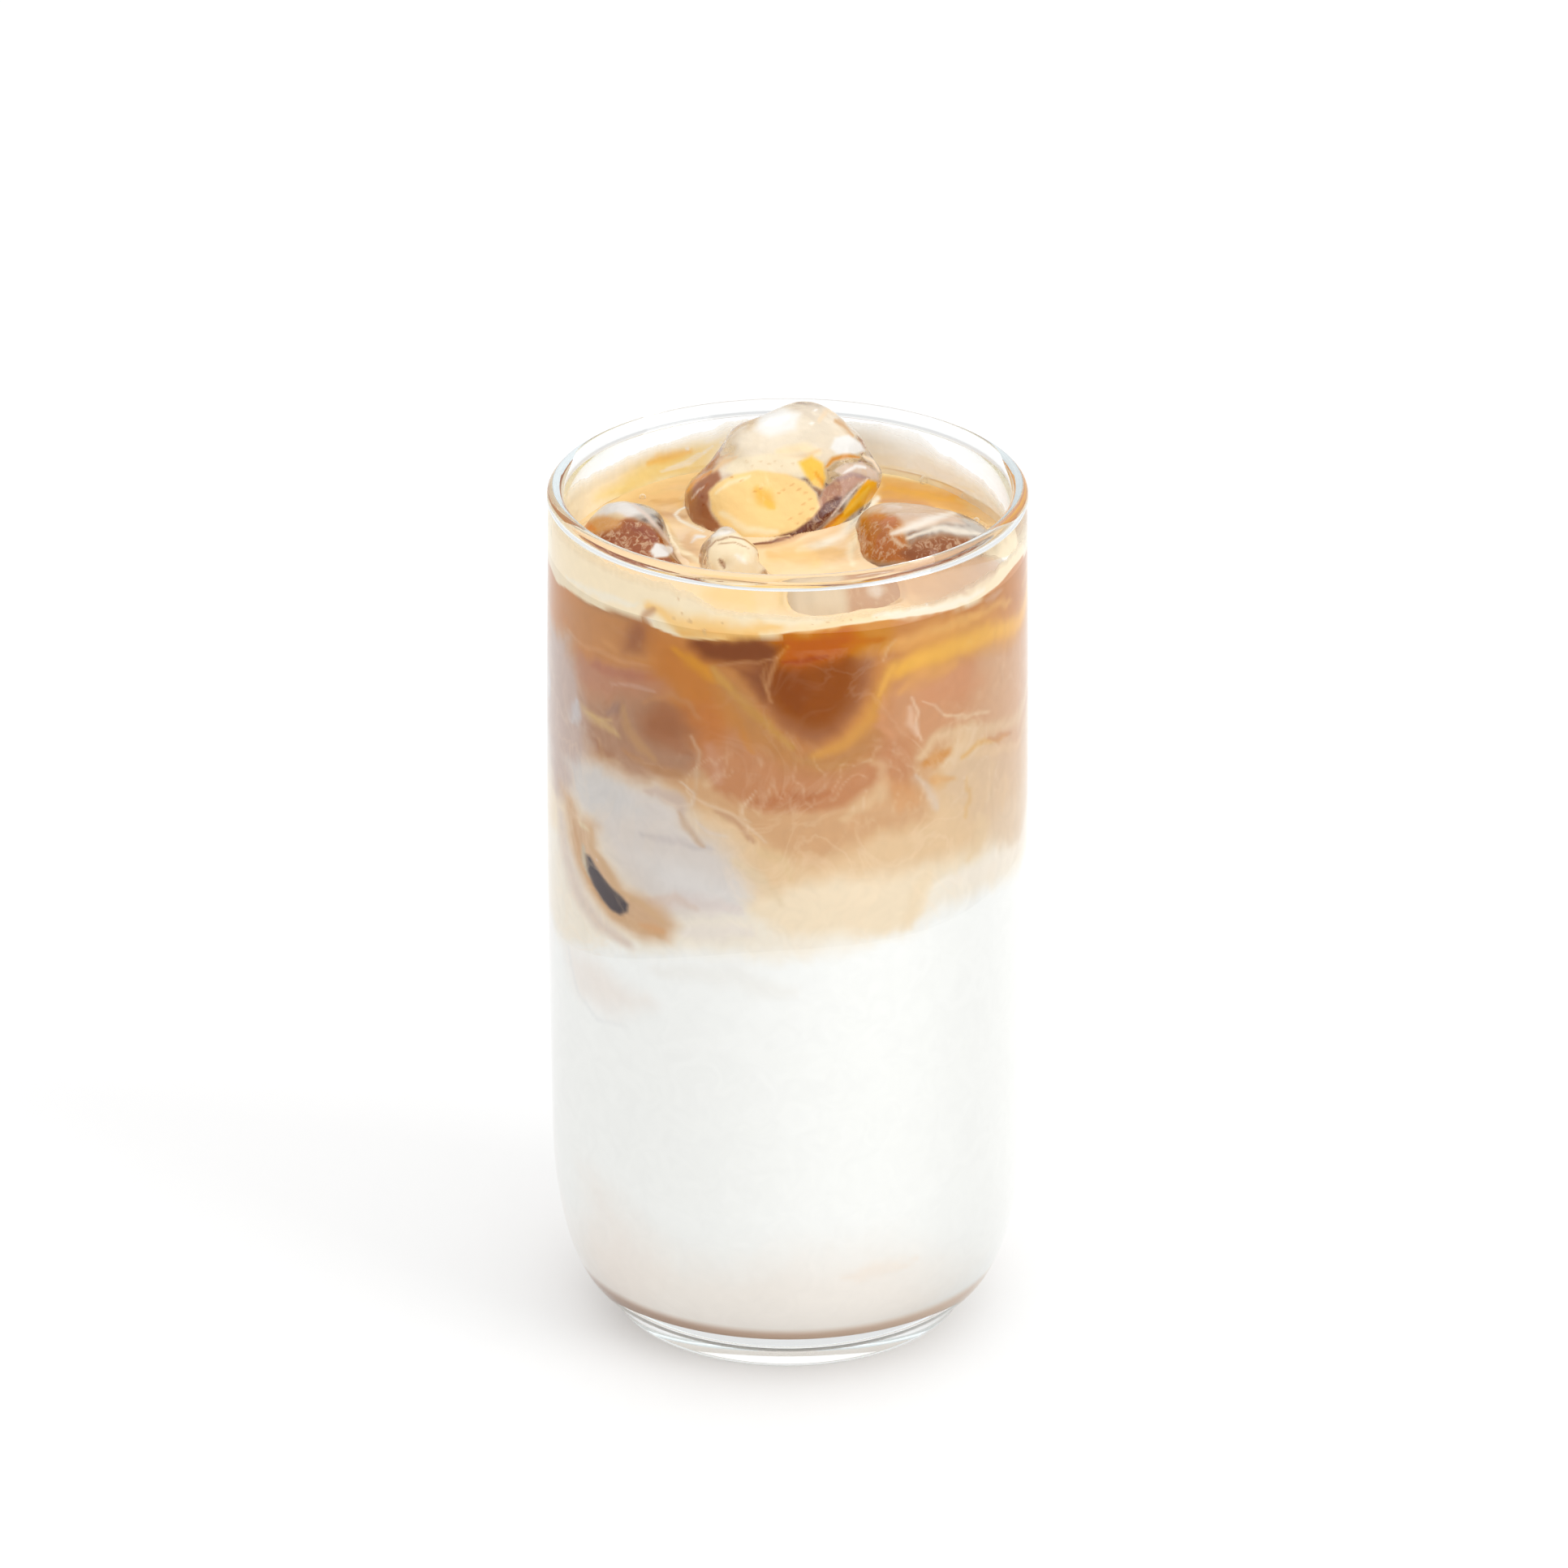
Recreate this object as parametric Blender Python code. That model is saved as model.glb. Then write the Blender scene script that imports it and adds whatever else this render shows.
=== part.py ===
"""Iced latte in a clear tumbler: layered milk and coffee, crema, wall foam and five pieces of ice.

The tumbler stands on z = 0 with its axis on Z. Its front, which the photograph shows, faces -Y.
"""

import math

import bmesh
import bpy
from mathutils import Euler, Vector, noise

MM = 0.001

# Driving dimensions of the tumbler
GLASS_HEIGHT = 125.5 * MM
RIM_RADIUS = 33.5 * MM
BEAD_RADIUS = 1.2 * MM
WALL_TOP_RADIUS = 33.3 * MM
BELLY_BULGE = 0.7 * MM
WALL_THICKNESS = 2.0 * MM
CORNER_HEIGHT = 28.0 * MM
FOOT_RADIUS = 24.3 * MM
FOOT_EDGE = 1.5 * MM
SHOULDER_RADIUS = 26.6 * MM
SHOULDER_HEIGHT = 3.8 * MM
BASE_THICKNESS = 6.5 * MM
FLOOR_RADIUS = 21.5 * MM
WALL_RINGS = (48 * MM, 70 * MM, 95 * MM, 115 * MM, 122.1 * MM)

# Driving dimensions of the drink
LIQUID_LEVEL = 115.8 * MM
CREMA_THICKNESS = 1.5 * MM
MILK_TOP = 68.0 * MM
COFFEE_BOTTOM = 98.0 * MM
FOAM_THICKNESS = 0.8 * MM
FOAM_TOP = 120.6 * MM

# Clearance between neighbouring pieces
GAP = 0.3 * MM

# Divisions of the round pieces
SEGMENTS = 48
CORNER_STEPS = 7
BEAD_STEPS = 6

# The ice: centre, size and turn of each piece, its dent and the seed of its uneven face.
# The dent is the melted hollow that an ice maker leaves in one face: (direction, depth).
ICE = {
    "ice_tall": {
        "centre": (-1.0 * MM, 15.8 * MM, 116.8 * MM),
        "size": (27.5 * MM, 20.5 * MM, 21.5 * MM),
        "turn": (41, -24, 41),
        "squareness": 2.9,
        "cuts": 8,
        "dent": ((-0.12, -0.9, 0.42), 1.2 * MM),
        "seed": 3,
    },
    "ice_left": {
        "centre": (-19.7 * MM, 0.1 * MM, 110.7 * MM),
        "size": (18.5 * MM, 25.5 * MM, 17.5 * MM),
        "turn": (17, 45, 36),
        "squareness": 2.5,
        "cuts": 8,
        "dent": ((0.5, -0.3, 0.8), 0.6 * MM),
        "seed": 11,
    },
    "ice_right": {
        "centre": (18.9 * MM, 2.0 * MM, 111.4 * MM),
        "size": (20.5 * MM, 24.0 * MM, 18.0 * MM),
        "turn": (-15, 14, 6),
        "squareness": 3.0,
        "cuts": 8,
        "dent": ((-0.1, 0.2, 1.0), 0.6 * MM),
        "seed": 19,
    },
    "ice_front": {
        "centre": (-7.3 * MM, -10.6 * MM, 117.0 * MM),
        "size": (7.8 * MM, 9.6 * MM, 11.6 * MM),
        "turn": (8, -26, 29),
        "squareness": 2.6,
        "cuts": 4,
        "dent": ((0.1, -0.6, 1.0), 0.6 * MM),
        "seed": 27,
    },
    "ice_low": {
        "centre": (8.2 * MM, -18.9 * MM, 108.2 * MM),
        "size": (22.0 * MM, 13.2 * MM, 19.0 * MM),
        "turn": (0, 6, 14),
        "squareness": 3.4,
        "cuts": 6,
        "dent": ((0.0, -0.2, 1.0), 0.6 * MM),
        "seed": 35,
    },
}
ICE_UNEVENNESS = 0.5 * MM
ICE_BUMP_PER_METRE = 90


def clear_scene():
    """Remove every object, so that only the drink is left."""
    for obj in list(bpy.data.objects):
        bpy.data.objects.remove(obj)


def finish_material(name, colour, roughness, transmission=0.0, ior=1.45):
    """A Principled material in one colour, with the finish of the real piece."""
    material = bpy.data.materials.new(name)
    material.use_nodes = True
    shader = material.node_tree.nodes["Principled BSDF"]
    shader.inputs["Base Color"].default_value = (*colour, 1.0)
    shader.inputs["Roughness"].default_value = roughness
    shader.inputs["Metallic"].default_value = 0.0
    shader.inputs["Transmission Weight"].default_value = transmission
    shader.inputs["IOR"].default_value = ior
    return material


def quarter_ellipse(centre, across, down, steps):
    """Points of a rounded lower corner, from its lowest point up to its widest."""
    angles = [math.pi / 2 * step / steps for step in range(steps + 1)]
    return [
        (centre[0] + across * math.sin(angle), centre[1] - down * math.cos(angle))
        for angle in angles
    ]


def wall_radius(z):
    """Outer radius of the wall above its rounded corner, with the slight belly."""
    return WALL_TOP_RADIUS + BELLY_BULGE * math.sin(math.pi * z / GLASS_HEIGHT)


def bore_radius(z):
    """Inner radius of the wall above its rounded corner."""
    return wall_radius(z) - WALL_THICKNESS


def inside_profile():
    """The inside of the tumbler as (radius, z), from the floor's middle to the corner's top."""
    across = bore_radius(CORNER_HEIGHT) - FLOOR_RADIUS
    down = CORNER_HEIGHT - BASE_THICKNESS
    corner = quarter_ellipse((FLOOR_RADIUS, CORNER_HEIGHT), across, down, CORNER_STEPS)
    return [(0.0, BASE_THICKNESS), (FLOOR_RADIUS / 2, BASE_THICKNESS)] + corner


def outside_profile():
    """The flat underside, the low foot and the rounded corner above it as (radius, z)."""
    across = wall_radius(CORNER_HEIGHT) - SHOULDER_RADIUS
    down = CORNER_HEIGHT - SHOULDER_HEIGHT
    corner = quarter_ellipse((SHOULDER_RADIUS, CORNER_HEIGHT), across, down, CORNER_STEPS)
    return [
        (0.0, 0.0),
        (FOOT_RADIUS, 0.0),
        (FOOT_RADIUS + FOOT_EDGE, FOOT_EDGE * 0.6),
    ] + corner


def bead_profile():
    """The fire-polished lip of the rim, from its outer side over the top to its inner side."""
    middle = (RIM_RADIUS - BEAD_RADIUS, GLASS_HEIGHT - BEAD_RADIUS)
    angles = [math.radians(-50 + 280 * step / BEAD_STEPS) for step in range(BEAD_STEPS + 1)]
    return [
        (middle[0] + BEAD_RADIUS * math.cos(angle), middle[1] + BEAD_RADIUS * math.sin(angle))
        for angle in angles
    ]


def ring(bm, radius, height):
    """One ring of vertices round Z. Height is a number or a function of x and y."""
    points = []
    for step in range(SEGMENTS):
        angle = 2 * math.pi * step / SEGMENTS
        x, y = radius * math.cos(angle), radius * math.sin(angle)
        z = height(x, y) if callable(height) else height
        points.append(bm.verts.new((x, y, z)))
    return points


def pole(bm, height):
    """One vertex on the axis."""
    z = height(0.0, 0.0) if callable(height) else height
    return [bm.verts.new((0.0, 0.0, z))]


def join_rings(bm, lower, upper):
    """Faces between two neighbouring rings, either of which may be a pole."""
    for step in range(SEGMENTS):
        after = (step + 1) % SEGMENTS
        if len(lower) == 1:
            bm.faces.new((lower[0], upper[after], upper[step]))
        elif len(upper) == 1:
            bm.faces.new((lower[step], lower[after], upper[0]))
        else:
            bm.faces.new((lower[step], lower[after], upper[after], upper[step]))


def turned_object(name, rings_of, material, closed_loop=False):
    """An object from a stack of rings that rings_of makes, each joined to the next."""
    bm = bmesh.new()
    rings = rings_of(bm)
    for lower, upper in zip(rings, rings[1:]):
        join_rings(bm, lower, upper)
    if closed_loop:
        join_rings(bm, rings[-1], rings[0])
    bmesh.ops.recalc_face_normals(bm, faces=bm.faces)
    bmesh.ops.triangulate(bm, faces=bm.faces)
    mesh = bpy.data.meshes.new(name)
    bm.to_mesh(mesh)
    bm.free()
    mesh.materials.append(material)
    mesh.shade_smooth()
    mesh.set_sharp_from_angle(angle=math.radians(40))
    obj = bpy.data.objects.new(name, mesh)
    bpy.context.scene.collection.objects.link(obj)
    return obj


def make_glass():
    """The tumbler: heavy flat base, rounded corner, bellied wall, beaded rim and bore."""
    outer = outside_profile() + [(wall_radius(z), z) for z in WALL_RINGS]
    bore = [(bore_radius(z), z) for z in reversed(WALL_RINGS)]
    profile = outer + bead_profile() + bore + list(reversed(inside_profile()))

    def rings(bm):
        return [pole(bm, z) if radius == 0.0 else ring(bm, radius, z) for radius, z in profile]

    material = finish_material("clear glass", (0.95, 0.98, 0.98), 0.02, 1.0, 1.52)
    return turned_object("glass", rings, material)


def front_azimuth(x, y):
    """Angle round Z from the front, positive to the right, in radians."""
    return math.atan2(x, -y)


def share_of_bore(x, y):
    """How far out a point lies, from 0 on the axis to 1 at the wall."""
    return min(1.0, math.hypot(x, y) / bore_radius(MILK_TOP))


def milk_top(x, y):
    """Where the milk ends and the swirled latte begins: lower on the left, higher on the right."""
    azimuth = front_azimuth(x, y)
    tilt = 5.5 * MM * math.sin(azimuth)
    folds = 1.8 * MM * math.cos(3 * azimuth + 0.6)
    return MILK_TOP + share_of_bore(x, y) * (tilt + folds)


def coffee_bottom(x, y):
    """Where the coffee ends: it hangs down in a tongue just right of the front."""
    azimuth = front_azimuth(x, y)
    tongue = -4.0 * MM * math.exp(-(((azimuth - 0.15) / 0.45) ** 2))
    tilt = 4.5 * MM * math.sin(azimuth)
    folds = 1.4 * MM * math.cos(2 * azimuth)
    return COFFEE_BOTTOM + share_of_bore(x, y) * (tongue + tilt + folds)


def crema_top(x, y):
    """The drink's surface, with low swells between the ice."""
    swell = math.sin(220 * x + 1.0) * math.cos(180 * y - 0.4)
    return LIQUID_LEVEL + 0.2 * MM * swell


def crema_bottom(x, y):
    """The underside of the crema, which dips a little towards the left."""
    tilt = 0.3 * MM * math.sin(front_azimuth(x, y))
    return LIQUID_LEVEL - CREMA_THICKNESS + share_of_bore(x, y) * tilt


def raised(surface, distance):
    """The same surface, moved up by a distance."""
    return lambda x, y: surface(x, y) + distance


def side_rings(bm, lower, upper, levels):
    """Rings against the wall, between two surfaces and clear of the bore."""
    made = []
    for level in range(levels + 1):
        points = []
        for step in range(SEGMENTS):
            angle = 2 * math.pi * step / SEGMENTS
            x, y = math.cos(angle), math.sin(angle)
            reach = bore_radius(LIQUID_LEVEL)
            low = lower(x * reach, y * reach)
            high = upper(x * reach, y * reach)
            z = low + (high - low) * level / levels
            radius = bore_radius(z) - GAP
            points.append(bm.verts.new((x * radius, y * radius, z)))
        made.append(points)
    return made


def cap_rings(bm, surface, shares):
    """Rings of a surface across the bore, at these shares of its radius."""
    reach = bore_radius(LIQUID_LEVEL) - GAP
    return [
        pole(bm, surface) if share == 0 else ring(bm, reach * share, surface)
        for share in shares
    ]


def make_layer(name, lower, upper, material, levels, shares=(0, 0.4, 0.75)):
    """A layer of the drink between two surfaces."""

    def rings(bm):
        below = cap_rings(bm, lower, shares)
        beside = side_rings(bm, lower, upper, levels)
        above = cap_rings(bm, upper, tuple(reversed(shares)))
        return below + beside + above

    return turned_object(name, rings, material)


def make_milk():
    """The milk, which fills the rounded bottom of the tumbler up to the swirls."""
    bottom = [(radius - GAP, z + GAP) for radius, z in inside_profile()[1:-1]]

    def rings(bm):
        floor = [pole(bm, BASE_THICKNESS + GAP)] + [ring(bm, radius, z) for radius, z in bottom]
        wall = side_rings(bm, lambda x, y: CORNER_HEIGHT, milk_top, 3)
        above = cap_rings(bm, milk_top, (0.75, 0.4, 0))
        return floor + wall + above

    return turned_object("milk", rings, finish_material("milk", (0.93, 0.9, 0.85), 0.3))


def foam_edge(x, y):
    """The ragged top edge of the foam on the wall: high behind, lower in front."""
    azimuth = front_azimuth(x, y)
    sway = -0.9 * math.cos(azimuth) + 0.7 * math.sin(3 * azimuth + 0.5)
    notches = 0.4 * math.cos(7 * azimuth)
    return FOAM_TOP + (sway + notches) * MM


def make_wall_foam():
    """The ring of foam left on the wall above the drink, a thin skin with a ragged edge."""
    outer_reach = bore_radius(LIQUID_LEVEL) - GAP
    inner_reach = outer_reach - FOAM_THICKNESS
    foot = raised(crema_top, GAP)

    def rings(bm):
        return [
            ring(bm, inner_reach, foot),
            ring(bm, outer_reach, foot),
            ring(bm, outer_reach, foam_edge),
            ring(bm, outer_reach - FOAM_THICKNESS / 2, foam_edge),
            ring(bm, inner_reach, raised(foam_edge, -FOAM_THICKNESS / 2)),
        ]

    material = finish_material("foam", (0.9, 0.76, 0.56), 0.5)
    return turned_object("wall_foam", rings, material, closed_loop=True)


def ice_mesh(name, piece, grow=0.0):
    """A rounded cube of ice with a melted dent, grown by a distance for its pocket."""
    bm = bmesh.new()
    bmesh.ops.create_cube(bm, size=2.0)
    bmesh.ops.subdivide_edges(bm, edges=bm.edges, cuts=piece["cuts"] - 1, use_grid_fill=True)
    half = [side / 2 for side in piece["size"]]
    turn = Euler([math.radians(angle) for angle in piece["turn"]]).to_matrix()
    dent_way = Vector(piece["dent"][0]).normalized()
    shift = Vector((piece["seed"], 0.0, 0.0))
    for vertex in bm.verts:
        way = vertex.co.normalized()
        power = piece["squareness"]
        stretch = sum(abs(part) ** power for part in way) ** (-1 / power)
        point = Vector([way[axis] * stretch * half[axis] for axis in range(3)])
        point = turn @ point
        bump = noise.noise(point * ICE_BUMP_PER_METRE + shift)
        facing = max(0.0, point.normalized().dot(dent_way))
        dent = piece["dent"][1] * facing ** 6
        point += point.normalized() * (ICE_UNEVENNESS * bump - dent + grow)
        vertex.co = point
    bmesh.ops.recalc_face_normals(bm, faces=bm.faces)
    mesh = bpy.data.meshes.new(name)
    bm.to_mesh(mesh)
    bm.free()
    mesh.shade_smooth()
    return mesh


def make_ice(pockets):
    """The five pieces of ice, and in pockets a larger copy of each, which cuts its pocket."""
    material = finish_material("ice", (0.93, 0.94, 0.95), 0.05, 1.0, 1.31)
    for name, piece in ICE.items():
        mesh = ice_mesh(name, piece)
        mesh.materials.append(material)
        obj = bpy.data.objects.new(name, mesh)
        obj.location = piece["centre"]
        bpy.context.scene.collection.objects.link(obj)
        cutter = bpy.data.objects.new(f"{name}_pocket", ice_mesh(f"{name}_pocket", piece, GAP))
        cutter.location = piece["centre"]
        cutter.hide_render = True
        cutter.display_type = "WIRE"
        pockets.objects.link(cutter)


def cut_pockets(obj, pockets):
    """Cut the pockets of the ice out of one layer."""
    cut = obj.modifiers.new("pockets", "BOOLEAN")
    cut.operation = "DIFFERENCE"
    cut.operand_type = "COLLECTION"
    cut.collection = pockets
    cut.solver = "EXACT"


def main():
    clear_scene()
    pockets = bpy.data.collections.new("pockets")
    bpy.context.scene.collection.children.link(pockets)
    make_glass()
    make_milk()
    latte = make_layer(
        "latte_swirl",
        raised(milk_top, GAP),
        raised(coffee_bottom, -GAP),
        finish_material("latte", (0.66, 0.42, 0.25), 0.3),
        levels=3,
    )
    coffee = make_layer(
        "coffee",
        coffee_bottom,
        raised(crema_bottom, -GAP),
        finish_material("coffee", (0.4, 0.17, 0.05), 0.25),
        levels=2,
    )
    crema = make_layer(
        "crema",
        crema_bottom,
        crema_top,
        finish_material("crema", (0.87, 0.6, 0.3), 0.35),
        levels=1,
    )
    make_wall_foam()
    make_ice(pockets)
    for layer in (latte, coffee, crema):
        cut_pockets(layer, pockets)


main()
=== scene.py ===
import math

import bpy
import numpy as np
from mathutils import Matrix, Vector, noise
from mathutils.bvhtree import BVHTree


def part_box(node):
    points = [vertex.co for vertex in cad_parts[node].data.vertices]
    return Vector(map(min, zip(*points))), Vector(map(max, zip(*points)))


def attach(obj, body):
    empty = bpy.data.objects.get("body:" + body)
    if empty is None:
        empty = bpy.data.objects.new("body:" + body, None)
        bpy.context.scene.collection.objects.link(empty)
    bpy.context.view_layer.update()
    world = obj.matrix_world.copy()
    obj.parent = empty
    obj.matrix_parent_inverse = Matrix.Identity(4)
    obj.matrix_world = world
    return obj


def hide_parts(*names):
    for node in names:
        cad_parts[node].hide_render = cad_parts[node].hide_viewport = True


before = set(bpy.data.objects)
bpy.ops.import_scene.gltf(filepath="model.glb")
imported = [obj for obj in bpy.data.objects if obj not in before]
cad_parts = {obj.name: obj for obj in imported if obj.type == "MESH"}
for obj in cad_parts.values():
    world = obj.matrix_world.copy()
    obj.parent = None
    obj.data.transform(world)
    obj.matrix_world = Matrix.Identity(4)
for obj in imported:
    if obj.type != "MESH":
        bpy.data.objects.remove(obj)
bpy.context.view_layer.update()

MM = 0.001

# The camera stands where the photograph was taken: in front, a little above the rim, far off,
# with a long lens. It looks down by 24 degrees at the middle of the tumbler.
LOOK_DOWN = math.radians(24.27)
CAMERA_AWAY = 1.2
LOOK_AT = Vector((-0.0005, 0.0, 0.0799))
AHEAD = Vector((0.0, math.cos(LOOK_DOWN), -math.sin(LOOK_DOWN)))
UPWARD = Vector((0.0, math.sin(LOOK_DOWN), math.cos(LOOK_DOWN)))
bpy.ops.object.select_all(action="DESELECT")
bpy.ops.object.camera_add()
camera = bpy.context.object
camera.name = "photo_camera"
camera.location = LOOK_AT - AHEAD * CAMERA_AWAY
camera.rotation_euler = (math.pi / 2 - LOOK_DOWN, 0.0, 0.0)
camera.data.sensor_width = 36.0
camera.data.lens = 195.2
camera.data.clip_start = 0.05
bpy.context.scene.camera = camera

# The tumbler: clear soda-lime glass, blown in a mould and fire polished at the rim. Its base is
# thick, its lower corner round, and its wall bellies out by less than a millimetre.
RIM_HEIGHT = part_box("glass")[1].z
BEAD = 1.2 * MM
RIM_RADIUS = 33.5 * MM
WALL = 2.0 * MM
CORNER_TOP = 28.0 * MM
FOOT = 24.3 * MM
SHOULDER = (26.6 * MM, 3.8 * MM)
FLOOR = (21.5 * MM, 6.5 * MM)


def outer_radius(z):
    return 33.3 * MM + 0.7 * MM * math.sin(math.pi * z / RIM_HEIGHT)


def inner_radius(z):
    return outer_radius(z) - WALL


def rounded_corner(start, reach, steps):
    across, down = reach - start[0], CORNER_TOP - start[1]
    turns = [math.pi / 2 * step / steps for step in range(1, steps)]
    return [(start[0] + across * math.sin(t), CORNER_TOP - down * math.cos(t)) for t in turns]


def wall_line(radius_at, low, high, steps):
    heights = [low + (high - low) * step / steps for step in range(steps + 1)]
    return [(radius_at(z), z) for z in heights]


def arc(middle, radius, first, last, steps):
    turns = [math.radians(first + (last - first) * step / steps) for step in range(steps + 1)]
    return [(middle[0] + radius * math.cos(t), middle[1] + radius * math.sin(t)) for t in turns]


def pick(*pieces):
    """Selects these pieces alone, the first of them active."""
    bpy.ops.object.select_all(action="DESELECT")
    for piece in pieces:
        piece.select_set(True)
    bpy.context.view_layer.objects.active = pieces[0]


def spun_piece(name, profile, steps):
    """A piece turned on Z: one vertex is extruded along the profile, and the line is spun."""
    bpy.ops.object.select_all(action="DESELECT")
    bpy.ops.mesh.primitive_plane_add(size=MM)
    piece = bpy.context.object
    piece.name = piece.data.name = name
    bpy.ops.object.mode_set(mode="EDIT")
    bpy.ops.mesh.merge(type="CENTER")
    bpy.ops.transform.translate(value=(profile[0][0], 0.0, profile[0][1]))
    for here, there in zip(profile, profile[1:]):
        move = (there[0] - here[0], 0.0, there[1] - here[1])
        bpy.ops.mesh.extrude_region_move(TRANSFORM_OT_translate={"value": move})
    bpy.ops.mesh.select_all(action="SELECT")
    bpy.ops.mesh.spin(steps=steps, angle=2 * math.pi, center=(0, 0, 0), axis=(0, 0, 1))
    bpy.ops.mesh.select_all(action="SELECT")
    bpy.ops.mesh.remove_doubles(threshold=0.01 * MM)
    bpy.ops.mesh.normals_make_consistent(inside=False)
    bpy.ops.object.mode_set(mode="OBJECT")
    bpy.ops.object.shade_smooth_by_angle(angle=math.radians(40))
    return piece


bead_middle = (RIM_RADIUS - BEAD, RIM_HEIGHT - BEAD)
neck = RIM_HEIGHT - 3.4 * MM
glass_profile = [(0.0, 0.0), (FOOT * 0.5, 0.0), (FOOT * 0.94, 0.0)]
glass_profile += arc((FOOT * 0.99, 1.5 * MM), 1.5 * MM, -80, -15, 6)
glass_profile += [(SHOULDER[0] - 0.5 * MM, 2.6 * MM), (SHOULDER[0] - 0.2 * MM, 3.3 * MM)]
glass_profile += [SHOULDER] + rounded_corner(SHOULDER, outer_radius(CORNER_TOP), 24)
glass_profile += wall_line(outer_radius, CORNER_TOP, neck, 24)
glass_profile += arc(bead_middle, BEAD, -50, 230, 22)
glass_profile += wall_line(inner_radius, neck, CORNER_TOP, 24)
glass_profile += list(reversed(rounded_corner(FLOOR, inner_radius(CORNER_TOP), 24)))
glass_profile += [FLOOR, (FLOOR[0] * 0.5, FLOOR[1]), (0.0, FLOOR[1])]
tumbler = spun_piece("tumbler", glass_profile, 192)


def feed(tree, node, feeds):
    """Gives a shader node's inputs their values, or links them to other nodes' outputs."""
    for socket, value in feeds.items():
        if isinstance(value, bpy.types.NodeSocket):
            tree.links.new(value, node.inputs[socket])
        else:
            node.inputs[socket].default_value = value


def add_node(tree, kind, feeds=None, **options):
    node = tree.nodes.new("ShaderNode" + kind)
    for option, value in options.items():
        setattr(node, option, value)
    feed(tree, node, feeds or {})
    return node


def maths(tree, operation, *terms):
    return add_node(tree, "Math", dict(enumerate(terms)), operation=operation).outputs[0]


def layered(tree, share, under, over):
    """Two shaders mixed by a share of the upper one."""
    feeds = {0: share, 1: under.outputs[0], 2: over.outputs[0]}
    return add_node(tree, "MixShader", feeds)


def new_material(name, feeds):
    """A material and its node tree, with the inputs of the default shader given."""
    material = bpy.data.materials.new(name)
    material.use_nodes = True
    tree = material.node_tree
    feed(tree, tree.nodes["Principled BSDF"], feeds)
    return material, tree, tree.nodes["Principled BSDF"]


def show(tree, surface):
    feed(tree, tree.nodes["Material Output"], {"Surface": surface.outputs[0]})


def unbent_light(tree):
    """1 for shadow and diffuse rays, which pass through glass and ice without a turn."""
    rays = add_node(tree, "LightPath").outputs
    return maths(tree, "MAXIMUM", rays["Is Shadow Ray"], rays["Is Diffuse Ray"])


MOST_BENDS = 4.5
CLEAR = (0.97, 0.98, 0.98, 1.0)
RIM_TEAL = (0.8, 0.86, 0.88, 1.0)
glass_material, tree, shader = new_material("clear_tumbler_glass", {
    "Base Color": (0.975, 0.99, 0.99, 1.0), "Roughness": 0.0, "IOR": 1.5,
    "Specular Tint": (0.4, 0.4, 0.4, 1.0), "Transmission Weight": 1.0})
ray_depth = add_node(tree, "LightPath").outputs["Ray Depth"]
long_path = maths(tree, "GREATER_THAN", ray_depth, MOST_BENDS)
rim_tint = add_node(tree, "Mix", {"Factor": long_path, "A": CLEAR, "B": RIM_TEAL},
                    data_type="RGBA")
see_through = add_node(tree, "BsdfTransparent", {"Color": rim_tint.outputs["Result"]})
straight = maths(tree, "MAXIMUM", unbent_light(tree), long_path)
show(tree, layered(tree, straight, shader, see_through))
tumbler.data.materials.append(glass_material)
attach(tumbler, "root")
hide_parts("glass")

# The drink behind the glass: espresso poured over cold milk and ice, which sinks in plumes and
# clouds as it mixes. Its colours lie on the liquid's own wall, each plume where the photograph
# shows it through the glass, and the back carries the same clouds turned round.
PHOTO_SIDE = 1932
FOCAL_PIXELS = camera.data.lens / camera.data.sensor_width * PHOTO_SIDE
GLASS_BEND = 1.5
INTO_WALL = 0.1 * MM
WALL_REACH = 31.8 * MM


def liquid_radius(z):
    if z >= CORNER_TOP:
        return inner_radius(z) + INTO_WALL
    drop = min(1.0, (CORNER_TOP - z) / (CORNER_TOP - FLOOR[1] + INTO_WALL))
    across = inner_radius(CORNER_TOP) + INTO_WALL - FLOOR[0]
    return FLOOR[0] + across * math.sqrt(1.0 - drop * drop)


def sight_line(px, py):
    right = (px - PHOTO_SIDE / 2) / FOCAL_PIXELS
    down = (py - PHOTO_SIDE / 2) / FOCAL_PIXELS
    return (AHEAD + Vector((right, 0.0, 0.0)) - UPWARD * down).normalized()


def meet_wall(start, line, radius_at, z):
    """Where a line meets a round wall, found with the wall's radius at the height it meets."""
    for again in range(6):
        flat = line.x ** 2 + line.y ** 2
        half = start.x * line.x + start.y * line.y
        rest = start.x ** 2 + start.y ** 2 - radius_at(z) ** 2
        root = math.sqrt(max(0.0, half * half - flat * rest))
        place = start + line * ((-half - root) / flat)
        z = place.z
    return place


def round_wall(turn):
    """How far round the wall a turn from the front looks, as seen from the front."""
    steep = math.radians(60)
    past = np.maximum(0.0, np.abs(turn) - steep)
    near = np.sin(np.minimum(np.abs(turn), steep))
    return np.sign(turn) * WALL_REACH * (near + past * math.cos(steep))


def seen_through_glass(px, py):
    """The turn round the drink's wall and the height of what the photograph shows at a pixel."""
    line = sight_line(px, py)
    outside = meet_wall(camera.location, line, outer_radius, 70 * MM)
    normal = Vector((outside.x, outside.y, 0.0)).normalized()
    facing = -line.dot(normal)
    bend = 1.0 / GLASS_BEND
    inward = bend * facing - math.sqrt(1.0 - bend * bend * (1.0 - facing * facing))
    line = (line * bend + normal * inward).normalized()
    inside = meet_wall(outside, line, liquid_radius, outside.z)
    return round_wall(math.atan2(inside.x, -inside.y)), inside.z


def tone(red, green, blue):
    """A colour named as it looks, on the usual 0 to 255 scale."""
    return np.array((red, green, blue)) / 255.0


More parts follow.
